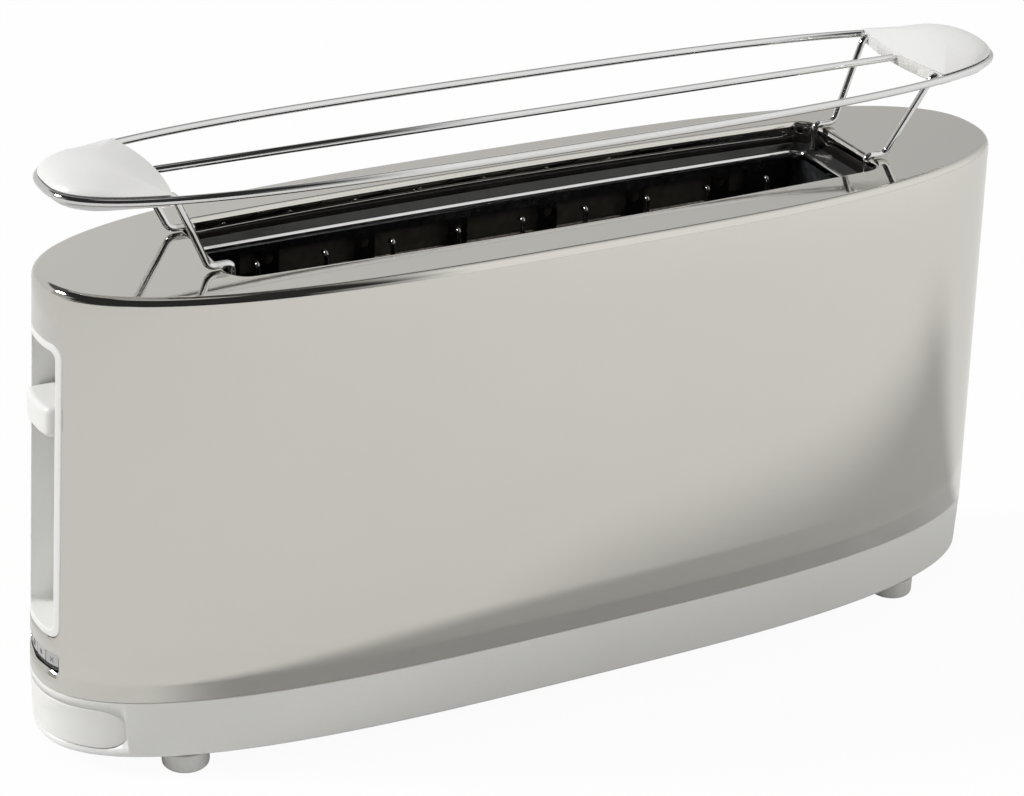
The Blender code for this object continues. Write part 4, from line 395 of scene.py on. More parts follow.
# Mica of the heater boards: its own grey-brown tone, darkened further to the look the boards have in the
# shade of the slot; partly the mineral's tone, partly painted shade.
MICA_WITH_PAINTED_SHADE = Finish("mica", "mica", (0.065, 0.06, 0.05), (0.03, 0.027, 0.022), 0.40, 0.14, 0.0,
              Texture.MINERAL, 240.0, 0.00006, drift_scale=30.0)
HEATER = Finish("heater_alloy", "heater_alloy", (0.30, 0.27, 0.25), (0.16, 0.13, 0.12), 0.45, 0.12, 1.0,
                Texture.MINERAL, 500.0, 0.00003, drift_scale=50.0)
BOARD = Finish("circuit_board", "board", (0.05, 0.20, 0.08), (0.03, 0.13, 0.05), 0.38, 0.08, 0.0,
               Texture.MINERAL, 700.0, 0.00002, drift_scale=90.0, dust=0.2)
COPPER = Finish("wound_copper", "copper", (0.70, 0.36, 0.20), (0.45, 0.20, 0.10), 0.30, 0.10, 1.0,
                Texture.SHEET, 500.0, 0.00012, (1.0, 1.0, 0.2), 60.0)
RUBBER = Finish("pale_rubber", "rubber", (0.66, 0.66, 0.65), (0.58, 0.58, 0.57), 0.55, 0.10, 0.0,
                Texture.MOULDED, 1500.0, 0.00003, drift_scale=80.0)
SLEEVE = Finish("glass_sleeve", "lead_sleeve", (0.68, 0.67, 0.62), (0.56, 0.54, 0.48), 0.62, 0.10, 0.0,
                Texture.SHEET, 900.0, 0.00008, (1.0, 0.3, 0.3), 80.0)
ICON = Finish("key_mark", "dark_plastic", (0.10, 0.10, 0.10), (0.13, 0.13, 0.13), 0.5, 0.08, 0.0,
              Texture.MOULDED, 900.0, 0.00001, drift_scale=90.0)


class Shape:
    """Makes mesh objects from rings, paths and outlines."""

    @staticmethod
    def mesh(name: str, data: bmesh.types.BMesh, finish: Finish, sharp: float = 32.0) -> bpy.types.Object:
        """Link a mesh with its finish.

        Args:
            name: the piece's name.
            data: the mesh, freed here.
            finish: its finish.
            sharp: edges sharper than this many degrees stay sharp.

        Returns:
            The new object.
        """
        bmesh.ops.recalc_face_normals(data, faces=data.faces)
        mesh = bpy.data.meshes.new(name)
        data.to_mesh(mesh)
        data.free()
        mesh.shade_smooth()
        mesh.set_sharp_from_angle(angle=sharp * pi / 180)
        mesh.materials.append(finish.material())
        made = bpy.data.objects.new(name, mesh)
        bpy.context.scene.collection.objects.link(made)
        return made

    @staticmethod
    def add_rings(data: bmesh.types.BMesh, rings: Sequence[Sequence[Point]], start_cap: bool = False,
                  end_cap: bool = False, looped: bool = False) -> list[list[bmesh.types.BMVert]]:
        """Skin a stack of rings.

        Args:
            data: the mesh to add to.
            rings: rings with equal numbers of points.
            start_cap: whether the first ring is closed by a face.
            end_cap: whether the last ring is closed by a face.
            looped: whether the last ring joins the first.

        Returns:
            The rings of new vertices.
        """
        loops = [[data.verts.new(point) for point in ring] for ring in rings]
        pairs = list(zip(loops, loops[1:]))
        if looped:
            pairs.append((loops[-1], loops[0]))
        count = len(rings[0])
        for lower, upper in pairs:
            for i in range(count):
                j = (i + 1) % count
                data.faces.new((lower[i], lower[j], upper[j], upper[i]))
        if start_cap:
            data.faces.new(list(reversed(loops[0])))
        if end_cap:
            data.faces.new(loops[-1])
        return loops

    @staticmethod
    def add_tube(data: bmesh.types.BMesh, path: Sequence[Point], radius: float, sides: int = 16,
                 closed: bool = False, round_end: bool = True) -> None:
        """Add a round wire along a path, with domed ends.

        Args:
            data: the mesh to add to.
            path: the wire's middle line.
            radius: the wire's radius.
            sides: points round the wire.
            closed: whether the wire is a loop.
            round_end: whether open ends are domed.
        """
        points = [Vector(p) for p in path]
        count = len(points)
        tangents = []
        for i in range(count):
            before = points[i - 1] if closed or i else points[i]
            after = points[(i + 1) % count] if closed or i < count - 1 else points[i]
            tangents.append((after - before).normalized())
        up = Vector((0, 0, 1)) if abs(tangents[0].z) < 0.9 else Vector((1, 0, 0))
        normal = tangents[0].cross(up).normalized()
        rings = []
        for i, (point, tangent) in enumerate(zip(points, tangents)):
            normal = (normal - tangent * normal.dot(tangent)).normalized()
            side = tangent.cross(normal)
            ends = []
            if round_end and not closed and i == 0:
                ends = [(-sin(a) * radius, cos(a) * radius) for a in (1.35, 1.05, 0.7, 0.35)]
            plain = [(0.0, radius)]
            if round_end and not closed and i == count - 1:
                tail = [(sin(a) * radius, cos(a) * radius) for a in (0.35, 0.7, 1.05, 1.35)]
            else:
                tail = []
            for ahead, reach in ends + plain + tail:
                middle = point + tangent * ahead * 0.6
                rings.append([tuple(middle + (normal * cos(t) + side * sin(t)) * reach)
                              for t in (2 * pi * k / sides for k in range(sides))])
        Shape.add_rings(data, rings, not closed, not closed, closed)

    @staticmethod
    def bent(stops: Sequence[Point], radius: float, steps: int = 10) -> list[Point]:
        """Round the inner corners of a path.

        Args:
            stops: the path's corners.
            radius: how far from a corner the bend starts.
            steps: pieces of each bend.

        Returns:
            The path's points.
        """
        points = [Vector(p) for p in stops]
        path = [points[0]]
        for before, corner, after in zip(points, points[1:], points[2:]):
            start = corner + (before - corner).normalized() * min(radius, (before - corner).length / 2)
            end = corner + (after - corner).normalized() * min(radius, (after - corner).length / 2)
            for k in range(steps + 1):
                t = k / steps
                path.append(start.lerp(corner, t).lerp(corner.lerp(end, t), t))
        path.append(points[-1])
        return [tuple(p) for p in path]

    @staticmethod
    def box(name: str, low: Point, high: Point, edge: float = 0.0,
            axis: int | None = None) -> bpy.types.Object:
        """Make a cutter box.

        Args:
            name: the cutter's name.
            low: its lowest corner.
            high: its highest corner.
            edge: radius of the rounded edges.
            axis: which edges are rounded, by the axis they run along, or all of them.

        Returns:
            The cutter.
        """
        data = bmesh.new()
        middle, size = (Vector(low) + Vector(high)) / 2, Vector(high) - Vector(low)
        bmesh.ops.create_cube(data, size=1.0,
                              matrix=Matrix.Translation(middle) @ Matrix.Diagonal((*size, 1.0)))
        if edge:
            edges = [e for e in data.edges
                     if axis is None or abs((e.verts[0].co - e.verts[1].co).normalized()[axis]) > 0.5]
            bmesh.ops.bevel(data, geom=edges, offset=edge, segments=12, profile=0.5, affect="EDGES")
        return Shape.mesh(name, data, DARK)

    @staticmethod
    def cut(target: bpy.types.Object, cutters: Sequence[bpy.types.Object]) -> bpy.types.Object:
        """Cut holes into a piece and remove the cutters.

        Args:
            target: the piece.
            cutters: what is cut away.

        Returns:
            The piece with its holes in its own mesh.
        """
        for cutter in cutters:
            step = target.modifiers.new(cutter.name, "BOOLEAN")
            step.object = cutter
            step.operation = "DIFFERENCE"
            step.solver = "EXACT"
        bpy.context.view_layer.update()
        done = target.evaluated_get(bpy.context.evaluated_depsgraph_get())
        mesh = bpy.data.meshes.new_from_object(done)
        target.modifiers.clear()
        finish = target.data.materials[0]
        target.data = mesh
        mesh.materials.clear()
        mesh.materials.append(finish)
        for cutter in cutters:
            bpy.data.objects.remove(cutter, do_unlink=True)
        return target

    @staticmethod
    def rectangle(low: Flat, high: Flat, radius: float, side_steps: int = 24,
                  corner_steps: int = 10) -> list[Flat]:
        """Return a rounded rectangle's outline, with the same number of points for any size.

        Args:
            low: its lowest corner.
            high: its highest corner.
            radius: its corner radius.
            side_steps: points along each side.
            corner_steps: points round each corner.

        Returns:
            The outline, counter-clockwise.
        """
        corners = ((high[0] - radius, low[1] + radius, -pi / 2), (high[0] - radius, high[1] - radius, 0.0),
                   (low[0] + radius, high[1] - radius, pi / 2), (low[0] + radius, low[1] + radius, pi))
        arcs = []
        for x, y, start in corners:
            turns = [start + pi / 2 * i / corner_steps for i in range(corner_steps + 1)]
            arcs.append([(x + radius * cos(turn), y + radius * sin(turn)) for turn in turns])
        outline: list[Flat] = []
        for arc, following in zip(arcs, arcs[1:] + arcs[:1]):
            outline.extend(arc)
            (x0, y0), (x1, y1) = arc[-1], following[0]
            for i in range(1, side_steps):
                share = i / side_steps
                outline.append((x0 + (x1 - x0) * share, y0 + (y1 - y0) * share))
        return outline


def ride(piece: bpy.types.Object, body: Body, finish: Finish, *nodes: str) -> bpy.types.Object:
    """Hang a piece on its body in place of its CAD nodes.

    Args:
        piece: the finished piece.
        body: the body it moves with.
        finish: the finish it wears; not used.
        nodes: the CAD nodes it stands for.

    Returns:
        The piece.
    """
    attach(piece, body.value)
    if nodes:
        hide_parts(*nodes)
    log.info("%s: %d faces", piece.name, len(piece.data.polygons))
    return piece


@dataclass
class BodyPlan:
    """The rounded oval that casing and base follow."""

    length: float = 0.412
    width: float = 0.1047
    rim_length: float = 0.400
    rim_width: float = 0.1016
    base_length: float = 0.411
    base_width: float = 0.1044
    foot: float = 0.008
    seam: float = 0.032
    rim: float = 0.193
    end_power: float = 3.14
    side_power: float = 2.32

    def casing(self, height: float) -> Flat:
        """Return the casing's half length and half width at a height."""
        share = (self.rim - height) / (self.rim - self.seam)
        return ((self.rim_length + (self.length - self.rim_length) * share) / 2,
                (self.rim_width + (self.width - self.rim_width) * share) / 2)

    def base(self, height: float) -> Flat:
        """Return the base's half length and half width at a height."""
        share = (height - self.foot) / (self.seam - self.foot)
        return ((self.base_length + (self.length - self.base_length) * share) / 2,
                (self.base_width + (self.width - self.base_width) * share) / 2)

    def ring(self, half_length: float, half_width: float, height: float, steps: int = 480) -> list[Point]:
        """Return one ring of the plan.

        Args:
            half_length: reach along X.
            half_width: reach along Y.
            height: the ring's height.
            steps: number of points.

        Returns:
            The ring, counter-clockwise from above.
        """
        points = []
        for i in range(steps):
            turn = 2 * pi * i / steps
            across, along = sin(turn), cos(turn)
            points.append((copysign(abs(along) ** (2 / self.end_power), along) * half_length,
                           copysign(abs(across) ** (2 / self.side_power), across) * half_width, height))
        return points

    def end_x(self, halves: Flat, y: float) -> float:
        """Return how far the plan reaches along X at a distance y from its middle line."""
        half_length, half_width = halves
        return half_length * (1 - abs(y / half_width) ** self.side_power) ** (1 / self.end_power)

    def side_y(self, halves: Flat, x: float) -> float:
        """Return how far the plan reaches along Y at a distance x from its middle."""
        half_length, half_width = halves
        return half_width * (1 - abs(x / half_length) ** self.end_power) ** (1 / self.side_power)

    def lever_end(self, halves: Halves, y: float, z: float, out: float = 0.0) -> Point:
        """Return a point on the lever end.

        Args:
            halves: the half sizes at a height.
            y: distance from the middle line.
            z: height.
            out: how far proud of the surface.

        Returns:
            The point.
        """
        half_length, half_width = halves(z)
        return -self.end_x((half_length + out, half_width + out), y), y, z


PLAN = BodyPlan()


def slot_ring(length: float, end_width: float, bulge: float, corner: float, height: float,
              end_steps: int = 8, corner_steps: int = 14, side_steps: int = 80) -> list[Point]:
    """Return one ring of the barrel-sided slot.

    Args:
        length: the slot's length.
        end_width: its width at the ends.
        bulge: how much wider each side is at the middle.
        corner: its corner radius.
        height: the ring's height.
        end_steps: pieces of each half end.
        corner_steps: pieces of each corner.
        side_steps: pieces of each half side.

    Returns:
        The ring, counter-clockwise from above.
    """
    half_length, half_width = length / 2, end_width / 2
    side_end = half_length - corner
    quarter = [(half_length, (half_width - corner) * i / end_steps) for i in range(end_steps)]
    for i in range(corner_steps):
        turn = pi / 2 * i / corner_steps
        quarter.append((side_end + corner * cos(turn), half_width - corner + corner * sin(turn)))
    for i in range(side_steps):
        x = side_end * (1 - i / side_steps)
        quarter.append((x, half_width + bulge * (1 - (x / side_end) ** 2)))
    right = quarter + [(0.0, half_width + bulge)]
    left = [(-x, y) for x, y in reversed(quarter)]
    upper = right + left
    lower = [(-x, -y) for x, y in upper[1:-1]]
    return [(x, y, height) for x, y in upper + lower]


@dataclass
class Casing:
    """Mirror-polished shell with its lever and key openings, and the frame in its slot."""

    sheet: float = 0.001
    rim_radius: float = 0.003
    roll: float = 0.002
    slot_length: float = 0.274
    slot_width: float = 0.054
    slot_bulge: float = 0.0029
    slot_corner: float = 0.008
    slot_bottom: float = 0.185
    gap: float = 0.0003
    opening_half: float = 0.0153
    opening_heights: Flat = (0.0537, 0.1718)
    opening_corner: float = 0.0053
    window_half: float = 0.015
    window_heights: Flat = (0.040, 0.0476)
    window_corner: float = 0.0015
    mouth_length: float = 0.263
    mouth_width: float = 0.0488
    mouth_bulge: float = 0.0012
    mouth_corner: float = 0.00525
    ledge_length: float = 0.280
    ledge_width: float = 0.060
    ledge_corner: float = 0.0107
    ledge_drop: float = 0.0025
    well_length: float = 0.2725
    well_width: float = 0.0535
    lip: float = 0.0012
    lip_drop: float = 0.0052
    frame_sheet: float = 0.0008

    def shell_rings(self) -> list[list[Point]]:
        """Return the rings of the outer wall and the rounded rim."""
        low = PLAN.seam + self.gap
        rings = []
        for i in range(9):
            height = low + (PLAN.rim - self.rim_radius - low) * i / 8
            rings.append(PLAN.ring(*PLAN.casing(height), height))
        half_length, half_width = PLAN.rim_length / 2, PLAN.rim_width / 2
        for i in range(1, 15):
            turn = pi / 2 * i / 14
            inset = self.rim_radius * (1 - cos(turn))
            height = PLAN.rim - self.rim_radius * (1 - sin(turn))
            rings.append(PLAN.ring(half_length - inset, half_width - inset, height))
        inset = self.rim_radius + 0.0004
        rings.append(PLAN.ring(half_length - inset, half_width - inset, PLAN.rim))
        return rings

    def slot_rings(self) -> list[list[Point]]:
        """Return the rings of the rolled slot edge, from the deck down."""
        out = self.roll + 0.0004
        rings = [slot_ring(self.slot_length + 2 * out, self.slot_width + 2 * out, self.slot_bulge,
                           self.slot_corner + out, PLAN.rim)]
        for i in range(13):
            turn = pi / 2 * i / 12
            out = self.roll * (1 - sin(turn))
            rings.append(slot_ring(self.slot_length + 2 * out, self.slot_width + 2 * out, self.slot_bulge,
                                   self.slot_corner + out, PLAN.rim - self.roll * (1 - cos(turn))))
        rings.append(slot_ring(self.slot_length, self.slot_width, self.slot_bulge, self.slot_corner,
                               self.slot_bottom))
        return rings

    def build_shell(self) -> None:
        """Make the shell: wall, rim, deck and slot edge in one sheet."""
        data = bmesh.new()
        outer = Shape.add_rings(data, self.shell_rings())[-1]
        inner = Shape.add_rings(data, self.slot_rings())[0]
        edges = []
        for loop in (outer, inner):
            for start, end in zip(loop, loop[1:] + loop[:1]):
                edges.append(data.edges.get((start, end)))
        bmesh.ops.triangle_fill(data, edges=edges, use_beauty=True, normal=(0, 0, 1))
        shell = Shape.mesh("casing_shell_polished", data, STEEL)
        thick = shell.modifiers.new("sheet", "SOLIDIFY")
        thick.thickness = self.sheet
        thick.offset = -1.0
        thick.use_even_offset = True
        low, high = self.opening_heights
        opening = Shape.box("lever_opening", (-BEYOND_END, -self.opening_half, low),
                            (-0.185, self.opening_half, high), self.opening_corner, 0)
        low, high = self.window_heights
        window = Shape.box("key_opening", (-BEYOND_END, -self.window_half, low),
                           (-0.188, self.window_half, high), self.window_corner, 0)
        Shape.cut(shell, [opening, window])
        ride(shell, Body.CASING, STEEL, "casing_shell")

    def mouth(self, out: float, height: float) -> list[Point]:
        """Return a ring of the frame's mouth."""
        return slot_ring(self.mouth_length + 2 * out, self.mouth_width + 2 * out, self.mouth_bulge,
                         self.mouth_corner + out, height)

    def build_frame(self) -> None:
        """Make the stepped frame that lines the slot: a ledge finished black as painted shade for the dark
        recess it mirrors, with a bright rolled lip.
        """
        top = self.slot_bottom - self.gap
        foot = top - self.ledge_drop
        well = (self.well_length - 0.0005, self.well_width - 0.0005, self.slot_bulge, self.slot_corner)
        ledge = [slot_ring(self.ledge_length, self.ledge_width, self.slot_bulge, self.ledge_corner, top),
                 slot_ring(self.well_length, self.well_width, self.slot_bulge, self.slot_corner, top),
                 slot_ring(*well, top - 0.0002), self.mouth(self.lip + 0.0003, foot + 0.0002),
                 self.mouth(self.lip, foot)]
        roll = [self.mouth(self.lip, foot)]
        for i in range(1, 11):
            turn = pi / 2 * i / 10
            roll.append(self.mouth(self.lip * (1 - sin(turn)), foot - self.lip * (1 - cos(turn))))
        roll.append(self.mouth(0.0, top - self.lip_drop))
        # The ledge wears the black painted shade, the lip bright chrome.
        for name, rings, finish, nodes in (("slot_frame_ledge", ledge, LEDGE_PAINTED_SHADE, ()),
                                           ("slot_frame_lip", roll, CHROME, ("slot_frame",))):
            data = bmesh.new()
            Shape.add_rings(data, rings)
            lining = Shape.mesh(name, data, finish)
            thick = lining.modifiers.new("sheet", "SOLIDIFY")
            thick.thickness = self.frame_sheet
            thick.offset = -1.0
            thick.use_even_offset = True
            ride(lining, Body.CASING, finish, *nodes)

    def build(self) -> None:
        """Make the shell and the slot frame."""
        self.build_shell()
        self.build_frame()


@dataclass
class EndBlock:
    """A block let into the lever end: its front follows the body's surface."""

    low: Flat
    high: Flat
    corner: float
    halves: Halves
    back: float
    proud: float = 0.0
    edge: float = 0.0006
    steps: int = 5

    def front_ring(self, inset: float, depth: float, scale: float = 1.0) -> list[Point]:
        """Return a ring of the front.

        Args:
            inset: how far the outline is drawn in.
            depth: how far it lies under the front surface.
            scale: how much it shrinks towards its middle.

        Returns:
            The ring.
        """
        low = (self.low[0] + inset, self.low[1] + inset)
        high = (self.high[0] - inset, self.high[1] - inset)
        middle = ((low[0] + high[0]) / 2, (low[1] + high[1]) / 2)
        outline = Shape.rectangle(low, high, max(self.corner - inset, 0.0001))
        ring = []
        for y, z in outline:
            y, z = middle[0] + (y - middle[0]) * scale, middle[1] + (z - middle[1]) * scale
            ring.append(PLAN.lever_end(self.halves, y, z, self.proud - depth))
        return ring

    def rings(self) -> list[list[Point]]:
        """Return all rings, from the middle of the front to the back."""
        rings = [self.front_ring(self.edge, 0.0, scale) for scale in (0.02, 0.2, 0.4, 0.6, 0.8, 0.93)]
        for i in range(self.steps + 1):
            turn = pi / 2 * i / self.steps
            rings.append(self.front_ring(self.edge * (1 - sin(turn)), self.edge * (1 - cos(turn))))
        rings.append([(-self.back, y, z) for _, y, z in rings[-1]])
        return rings

    def make(self, name: str, finish: Finish) -> bpy.types.Object:
        """Make the block.

        Args:
            name: the piece's name.
            finish: its finish.

        Returns:
            The piece.
        """
        data = bmesh.new()
        Shape.add_rings(data, self.rings(), True, True)
        return Shape.mesh(name, data, finish)


@dataclass
class Base:
    """White moulded base with the crumb tray's front and four feet."""

    wall: float = 0.002
    flange: float = 0.020
    edge: float = 0.0015
    spigot: float = 0.006
    step: float = 0.0013
    foot_x: float = 0.159
    foot_y: float = 0.031
    stem_hole: float = 0.0033
    screw_x: float = 0.1378
    screw_y: float = 0.0365
    screw_hole: float = 0.0018
    gland_x: float = 0.120
    gland_z: float = 0.020
    gland_hole: float = 0.0058
    tray_half: float = 0.0317
    tray_heights: Flat = (0.0112, 0.0285)
    tray_corner: float = 0.006
    tray_gap: float = 0.0003

    def build_skirt(self) -> None:
        """Make the moulded ring with its tray opening and its screw and foot holes."""
        half_length, half_width = PLAN.base(PLAN.foot)
        rings = [PLAN.ring(half_length - self.flange, half_width - self.flange, PLAN.foot)]
        for i in range(9):
            turn = pi / 2 * i / 8
            inset = self.edge * (1 - sin(turn))
            rings.append(PLAN.ring(half_length - inset, half_width - inset,
                                   PLAN.foot + self.edge * (1 - cos(turn))))
        length, width = PLAN.base(PLAN.seam)
        brim = 0.0004
        for i in range(5):
            turn = pi / 2 * i / 4
            inset = brim * (1 - cos(turn))
            rings.append(PLAN.ring(length - inset, width - inset, PLAN.seam - brim * (1 - sin(turn))))
        rings.append(PLAN.ring(length - self.step, width - self.step, PLAN.seam))
        rings.append(PLAN.ring(length - self.step, width - self.step, PLAN.seam + self.spigot))
        data = bmesh.new()
        Shape.add_rings(data, rings)
        skirt = Shape.mesh("base_skirt_moulded", data, WHITE)
        thick = skirt.modifiers.new("wall", "SOLIDIFY")
        thick.thickness = self.wall
        thick.offset = -1.0
        thick.use_even_offset = True
        low, high = self.tray_heights
        cutters = [Shape.box("tray_opening", (-BEYOND_END, -self.tray_half, low),
                             (-0.176, self.tray_half, high),
                             self.tray_corner, 0)]
        for index, (x, y) in enumerate(self.corners(self.foot_x, self.foot_y)):
            cutters.append(self.drill(f"stem_hole_{index}", x, y, self.stem_hole))
        for index, (x, y) in enumerate(self.corners(self.screw_x, self.screw_y)):
            cutters.append(self.drill(f"screw_hole_{index}", x, y, self.screw_hole))
        gland_y = PLAN.side_y(PLAN.base(self.gland_z), self.gland_x)
        data = bmesh.new()
        Shape.add_tube(data, [(self.gland_x, gland_y - 0.009, self.gland_z),
                              (self.gland_x, gland_y + 0.004,
                               self.gland_z)], self.gland_hole, 48, round_end=False)
        cutters.append(Shape.mesh("gland_hole", data, DARK))
        Shape.cut(skirt, cutters)
        ride(skirt, Body.CASING, WHITE, "base_skirt")

    def drill(self, name: str, x: float, y: float, radius: float) -> bpy.types.Object:
        """Make the cutter of an upright hole through the flange.

        Args:
            name: the cutter's name.
            x: its place along X.
            y: its place along Y.
            radius: its radius.

        Returns:
            The cutter.
        """
        data = bmesh.new()
        Shape.add_tube(data, [(x, y, 0.004), (x, y, 0.014)], radius, 32, round_end=False)
        return Shape.mesh(name, data, DARK)

    @staticmethod
    def corners(x: float, y: float) -> list[Flat]:
        """Return the four places at these distances from the middle, left ones first."""
        return [(side_x * x, side_y * y) for side_x in (-1, 1) for side_y in (-1, 1)]

    def build_feet(self) -> None:
        """Make four turned feet with a soft lower edge and a stem."""
        profile = [(0.00001, 0.01095), (0.003, 0.01095), (0.003, 0.0077), (0.0087, 0.0077), (0.009, 0.0074),
                   (0.009, 0.0015), (0.00885, 0.0008), (0.0084, 0.0003), (0.0077, 0.00005), (0.007, 0.0),
                   (0.0055, 0.0), (0.005, 0.0006), (0.00001, 0.0006)]
        names = ["left_front", "left_back", "right_front", "right_back"]
        for name, (x, y) in zip(names, self.corners(self.foot_x, self.foot_y)):
            rings = [[(x + r * cos(t), y + r * sin(t), z) for t in (2 * pi * k / 64 for k in range(64))]
                     for r, z in profile]
            data = bmesh.new()
            Shape.add_rings(data, rings, True, True)
            ride(Shape.mesh(f"foot_{name}_turned", data, RUBBER, 40.0), Body.CASING, RUBBER, f"foot_{name}")

    def build_tray_front(self) -> None:
        """Make the tray front that closes the opening in the base."""
        half, (low, high) = self.tray_half - self.tray_gap, self.tray_heights
        block = EndBlock((-half, low + self.tray_gap), (half, high - self.tray_gap),
                         self.tray_corner - self.tray_gap, PLAN.base, 0.1823, edge=0.0005)
        shown = block.rings()
        inner = []
        for share in (0.97, 0.6, 0.3, 0.02):
            middle_z = (block.low[1] + block.high[1]) / 2
            inner.append([PLAN.lever_end(PLAN.base, y * share, middle_z + (z - middle_z) * share, -0.0025)
                          for _, y, z in shown[-1]])
        data = bmesh.new()
        Shape.add_rings(data, shown[:-1] + [[(x + 0.0021, y, z) for x, y, z in shown[-2]]] + inner, True,
                        True)
        ride(Shape.mesh("tray_front_moulded", data, WHITE), Body.TRAY, WHITE, "tray_front")

    def build(self) -> None:
        """Make the skirt, the feet and the tray front."""
        self.build_skirt()
        self.build_feet()
        self.build_tray_front()


@dataclass
class LeverEnd:
    """Bezel with its recess and ramp, the lever knob, and the keys in their housing."""

    bezel_half: float = 0.015
    bezel_low: float = 0.054
    bezel_high: float = 0.1715
    bezel_back: float = 0.1865
    bezel_corner: float = 0.005
    edge: float = 0.0005
    recess_half: float = 0.012
    recess_high: float = 0.1685
    recess_corner: float = 0.003
    recess_floor: float = 0.1885
    ramp_inside: float = 0.068
    ramp_slope: float = 0.647
    knob_low: float = 0.135
    knob_high: float = 0.1465
    knob_half: float = 0.0113
    knob_back: float = 0.1905
    key_pitch: float = 0.0070
    key_width: float = 0.0066
    key_low: float = 0.0419
    key_high: float = 0.0467
    key_sunk: float = 0.0008
    stem: float = 0.0012
    stem_end: float = 0.1893
    mark_wire: float = 0.00017
    knob_edge: float = 0.0022
    slit_half: float = 0.0014
    slit_heights: Flat = (0.0745, 0.1645)
    socket_half: float = 0.0011
    socket_heights: Flat = (0.1362, 0.1448)

    def ramp(self, x: float) -> float:
        """Return the height of the recess's sloped foot at a distance from the middle."""
        return self.ramp_inside - (x - self.recess_floor) * self.ramp_slope

    def recess_outline(self, grown: float, depth_x: float | None = None) -> list[Point]:
        """Return the recess's outline on the front surface or at a depth.

        Args:
            grown: how much wider than the recess.
            depth_x: distance from the middle, or None for the front surface.

        Returns:
            The ring.
        """
        foot = self.ramp(depth_x if depth_x else 0.2056)
        outline = Shape.rectangle((-self.recess_half - grown, foot - grown),
                                  (self.recess_half + grown,
                                   self.recess_high + grown), self.recess_corner + grown)
        if depth_x:
            return [(-depth_x, y, z) for y, z in outline]
        return [PLAN.lever_end(PLAN.casing, y, z) for y, z in outline]

    def build_bezel(self) -> None:
        """Make the white tray that the knob runs in."""
        block = EndBlock((-self.bezel_half, self.bezel_low), (self.bezel_half, self.bezel_high),
                         self.bezel_corner, PLAN.casing, self.bezel_back, edge=self.edge)
        rings = [[(-self.bezel_back, y, z) for _, y, z in block.front_ring(0.0, 0.0)]]
        for i in range(6):
            turn = pi / 2 * (1 - i / 5)
            rings.append(block.front_ring(self.edge * (1 - sin(turn)), self.edge * (1 - cos(turn))))
        rings.append(self.recess_outline(self.edge))
        for i in range(1, 6):
            turn = pi / 2 * i / 5
            ring = self.recess_outline(self.edge * (1 - sin(turn)))
            rings.append([(x + self.edge * (1 - cos(turn)), y, z) for x, y, z in ring])
        front = rings[-1]
        for share in (0.35, 0.7):
            rings.append([(x + (-self.recess_floor - 0.001 - x) * share, y, z) for x, y, z in front])
        for i in range(6):
            turn = pi / 2 * i / 5
            shrink = 0.001 * (1 - cos(turn))
            rings.append(self.recess_outline(-shrink, self.recess_floor + 0.001 * (1 - sin(turn))))
        data = bmesh.new()
        Shape.add_rings(data, rings, True, True)
        bezel = Shape.mesh("lever_bezel_moulded", data, WHITE, 40.0)
        low, high = self.slit_heights
        slit = Shape.box("arm_slit", (-0.193, -self.slit_half, low), (-0.183, self.slit_half, high),
                         0.0006, 0)
        Shape.cut(bezel, [slit])
        ride(bezel, Body.CASING, WHITE, "lever_bezel")

    def build_knob(self) -> None:
        """Make the rounded knob that follows the wall's curve."""
        block = EndBlock((-self.knob_half, self.knob_low), (self.knob_half, self.knob_high),
                         self.knob_edge + 0.0002, PLAN.casing, self.knob_back, 0.0014, self.knob_edge, 12)
        knob = block.make("lever_knob_moulded", WHITE)
        low, high = self.socket_heights
        socket = Shape.box("arm_socket", (-0.1968, -self.socket_half, low), (-0.186, self.socket_half, high))
        Shape.cut(knob, [socket])
        ride(knob, Body.LEVER, WHITE, "lever_knob")

    def build_keys(self) -> None:
        """Make the four keys and their generic marks."""
        bodies = (Body.BROWNING, Body.REHEAT, Body.DEFROST, Body.STOP)
        marks = (self.bars(), self.waves(), self.crystal(), self.cross())
        middle_z = (self.key_low + self.key_high) / 2
        for index, (body, strokes) in enumerate(zip(bodies, marks)):
            node = "key_" + body.value.removesuffix("_key")
            y = (1.5 - index) * self.key_pitch
            block = EndBlock((y - self.key_width / 2, self.key_low),
                             (y + self.key_width / 2, self.key_high), 0.0005,
                             PLAN.casing, 0.1965, -self.key_sunk, 0.0003, 4)
            data = bmesh.new()
            Shape.add_rings(data, block.rings(), True, True)
            Shape.add_tube(data, [(-0.1970, y, middle_z), (-self.stem_end, y, middle_z)], self.stem, 20)
            ride(Shape.mesh(node + "_cap", data, GREY), body, GREY, node)
            data = bmesh.new()
            for path in strokes:
                points = [PLAN.lever_end(PLAN.casing, y + sideways, middle_z + up, -self.key_sunk - 0.00003)
                          for sideways, up in path]
                Shape.add_tube(data, points, self.mark_wire, 8)
            ride(Shape.mesh(node + "_mark", data, ICON), body, ICON)

    def bars(self) -> list[list[Flat]]:
        """Return three rising bars, for how brown the toast gets."""
        return [[(offset, -0.0011), (offset, top)]
                for offset, top in ((0.0011, -0.0004), (0.0, 0.0004), (-0.0011, 0.0012))]

    def waves(self) -> list[list[Flat]]:
        """Return three rising heat waves."""
        return [[(offset + 0.00025 * sin(2 * pi * i / 10), -0.0012 + 0.0024 * i / 10) for i in range(11)]
                for offset in (-0.001, 0.0, 0.001)]

    def crystal(self) -> list[list[Flat]]:
        """Return a six-armed ice crystal."""
        return [[(-0.0012 * cos(turn), -0.0012 * sin(turn)), (0.0012 * cos(turn), 0.0012 * sin(turn))]
                for turn in (pi / 2, pi / 6, -pi / 6)]

    def cross(self) -> list[list[Flat]]:
        """Return a plain cross, for stopping."""
        return [[(-0.0009, -0.0009 * side), (0.0009, 0.0009 * side)] for side in (-1, 1)]

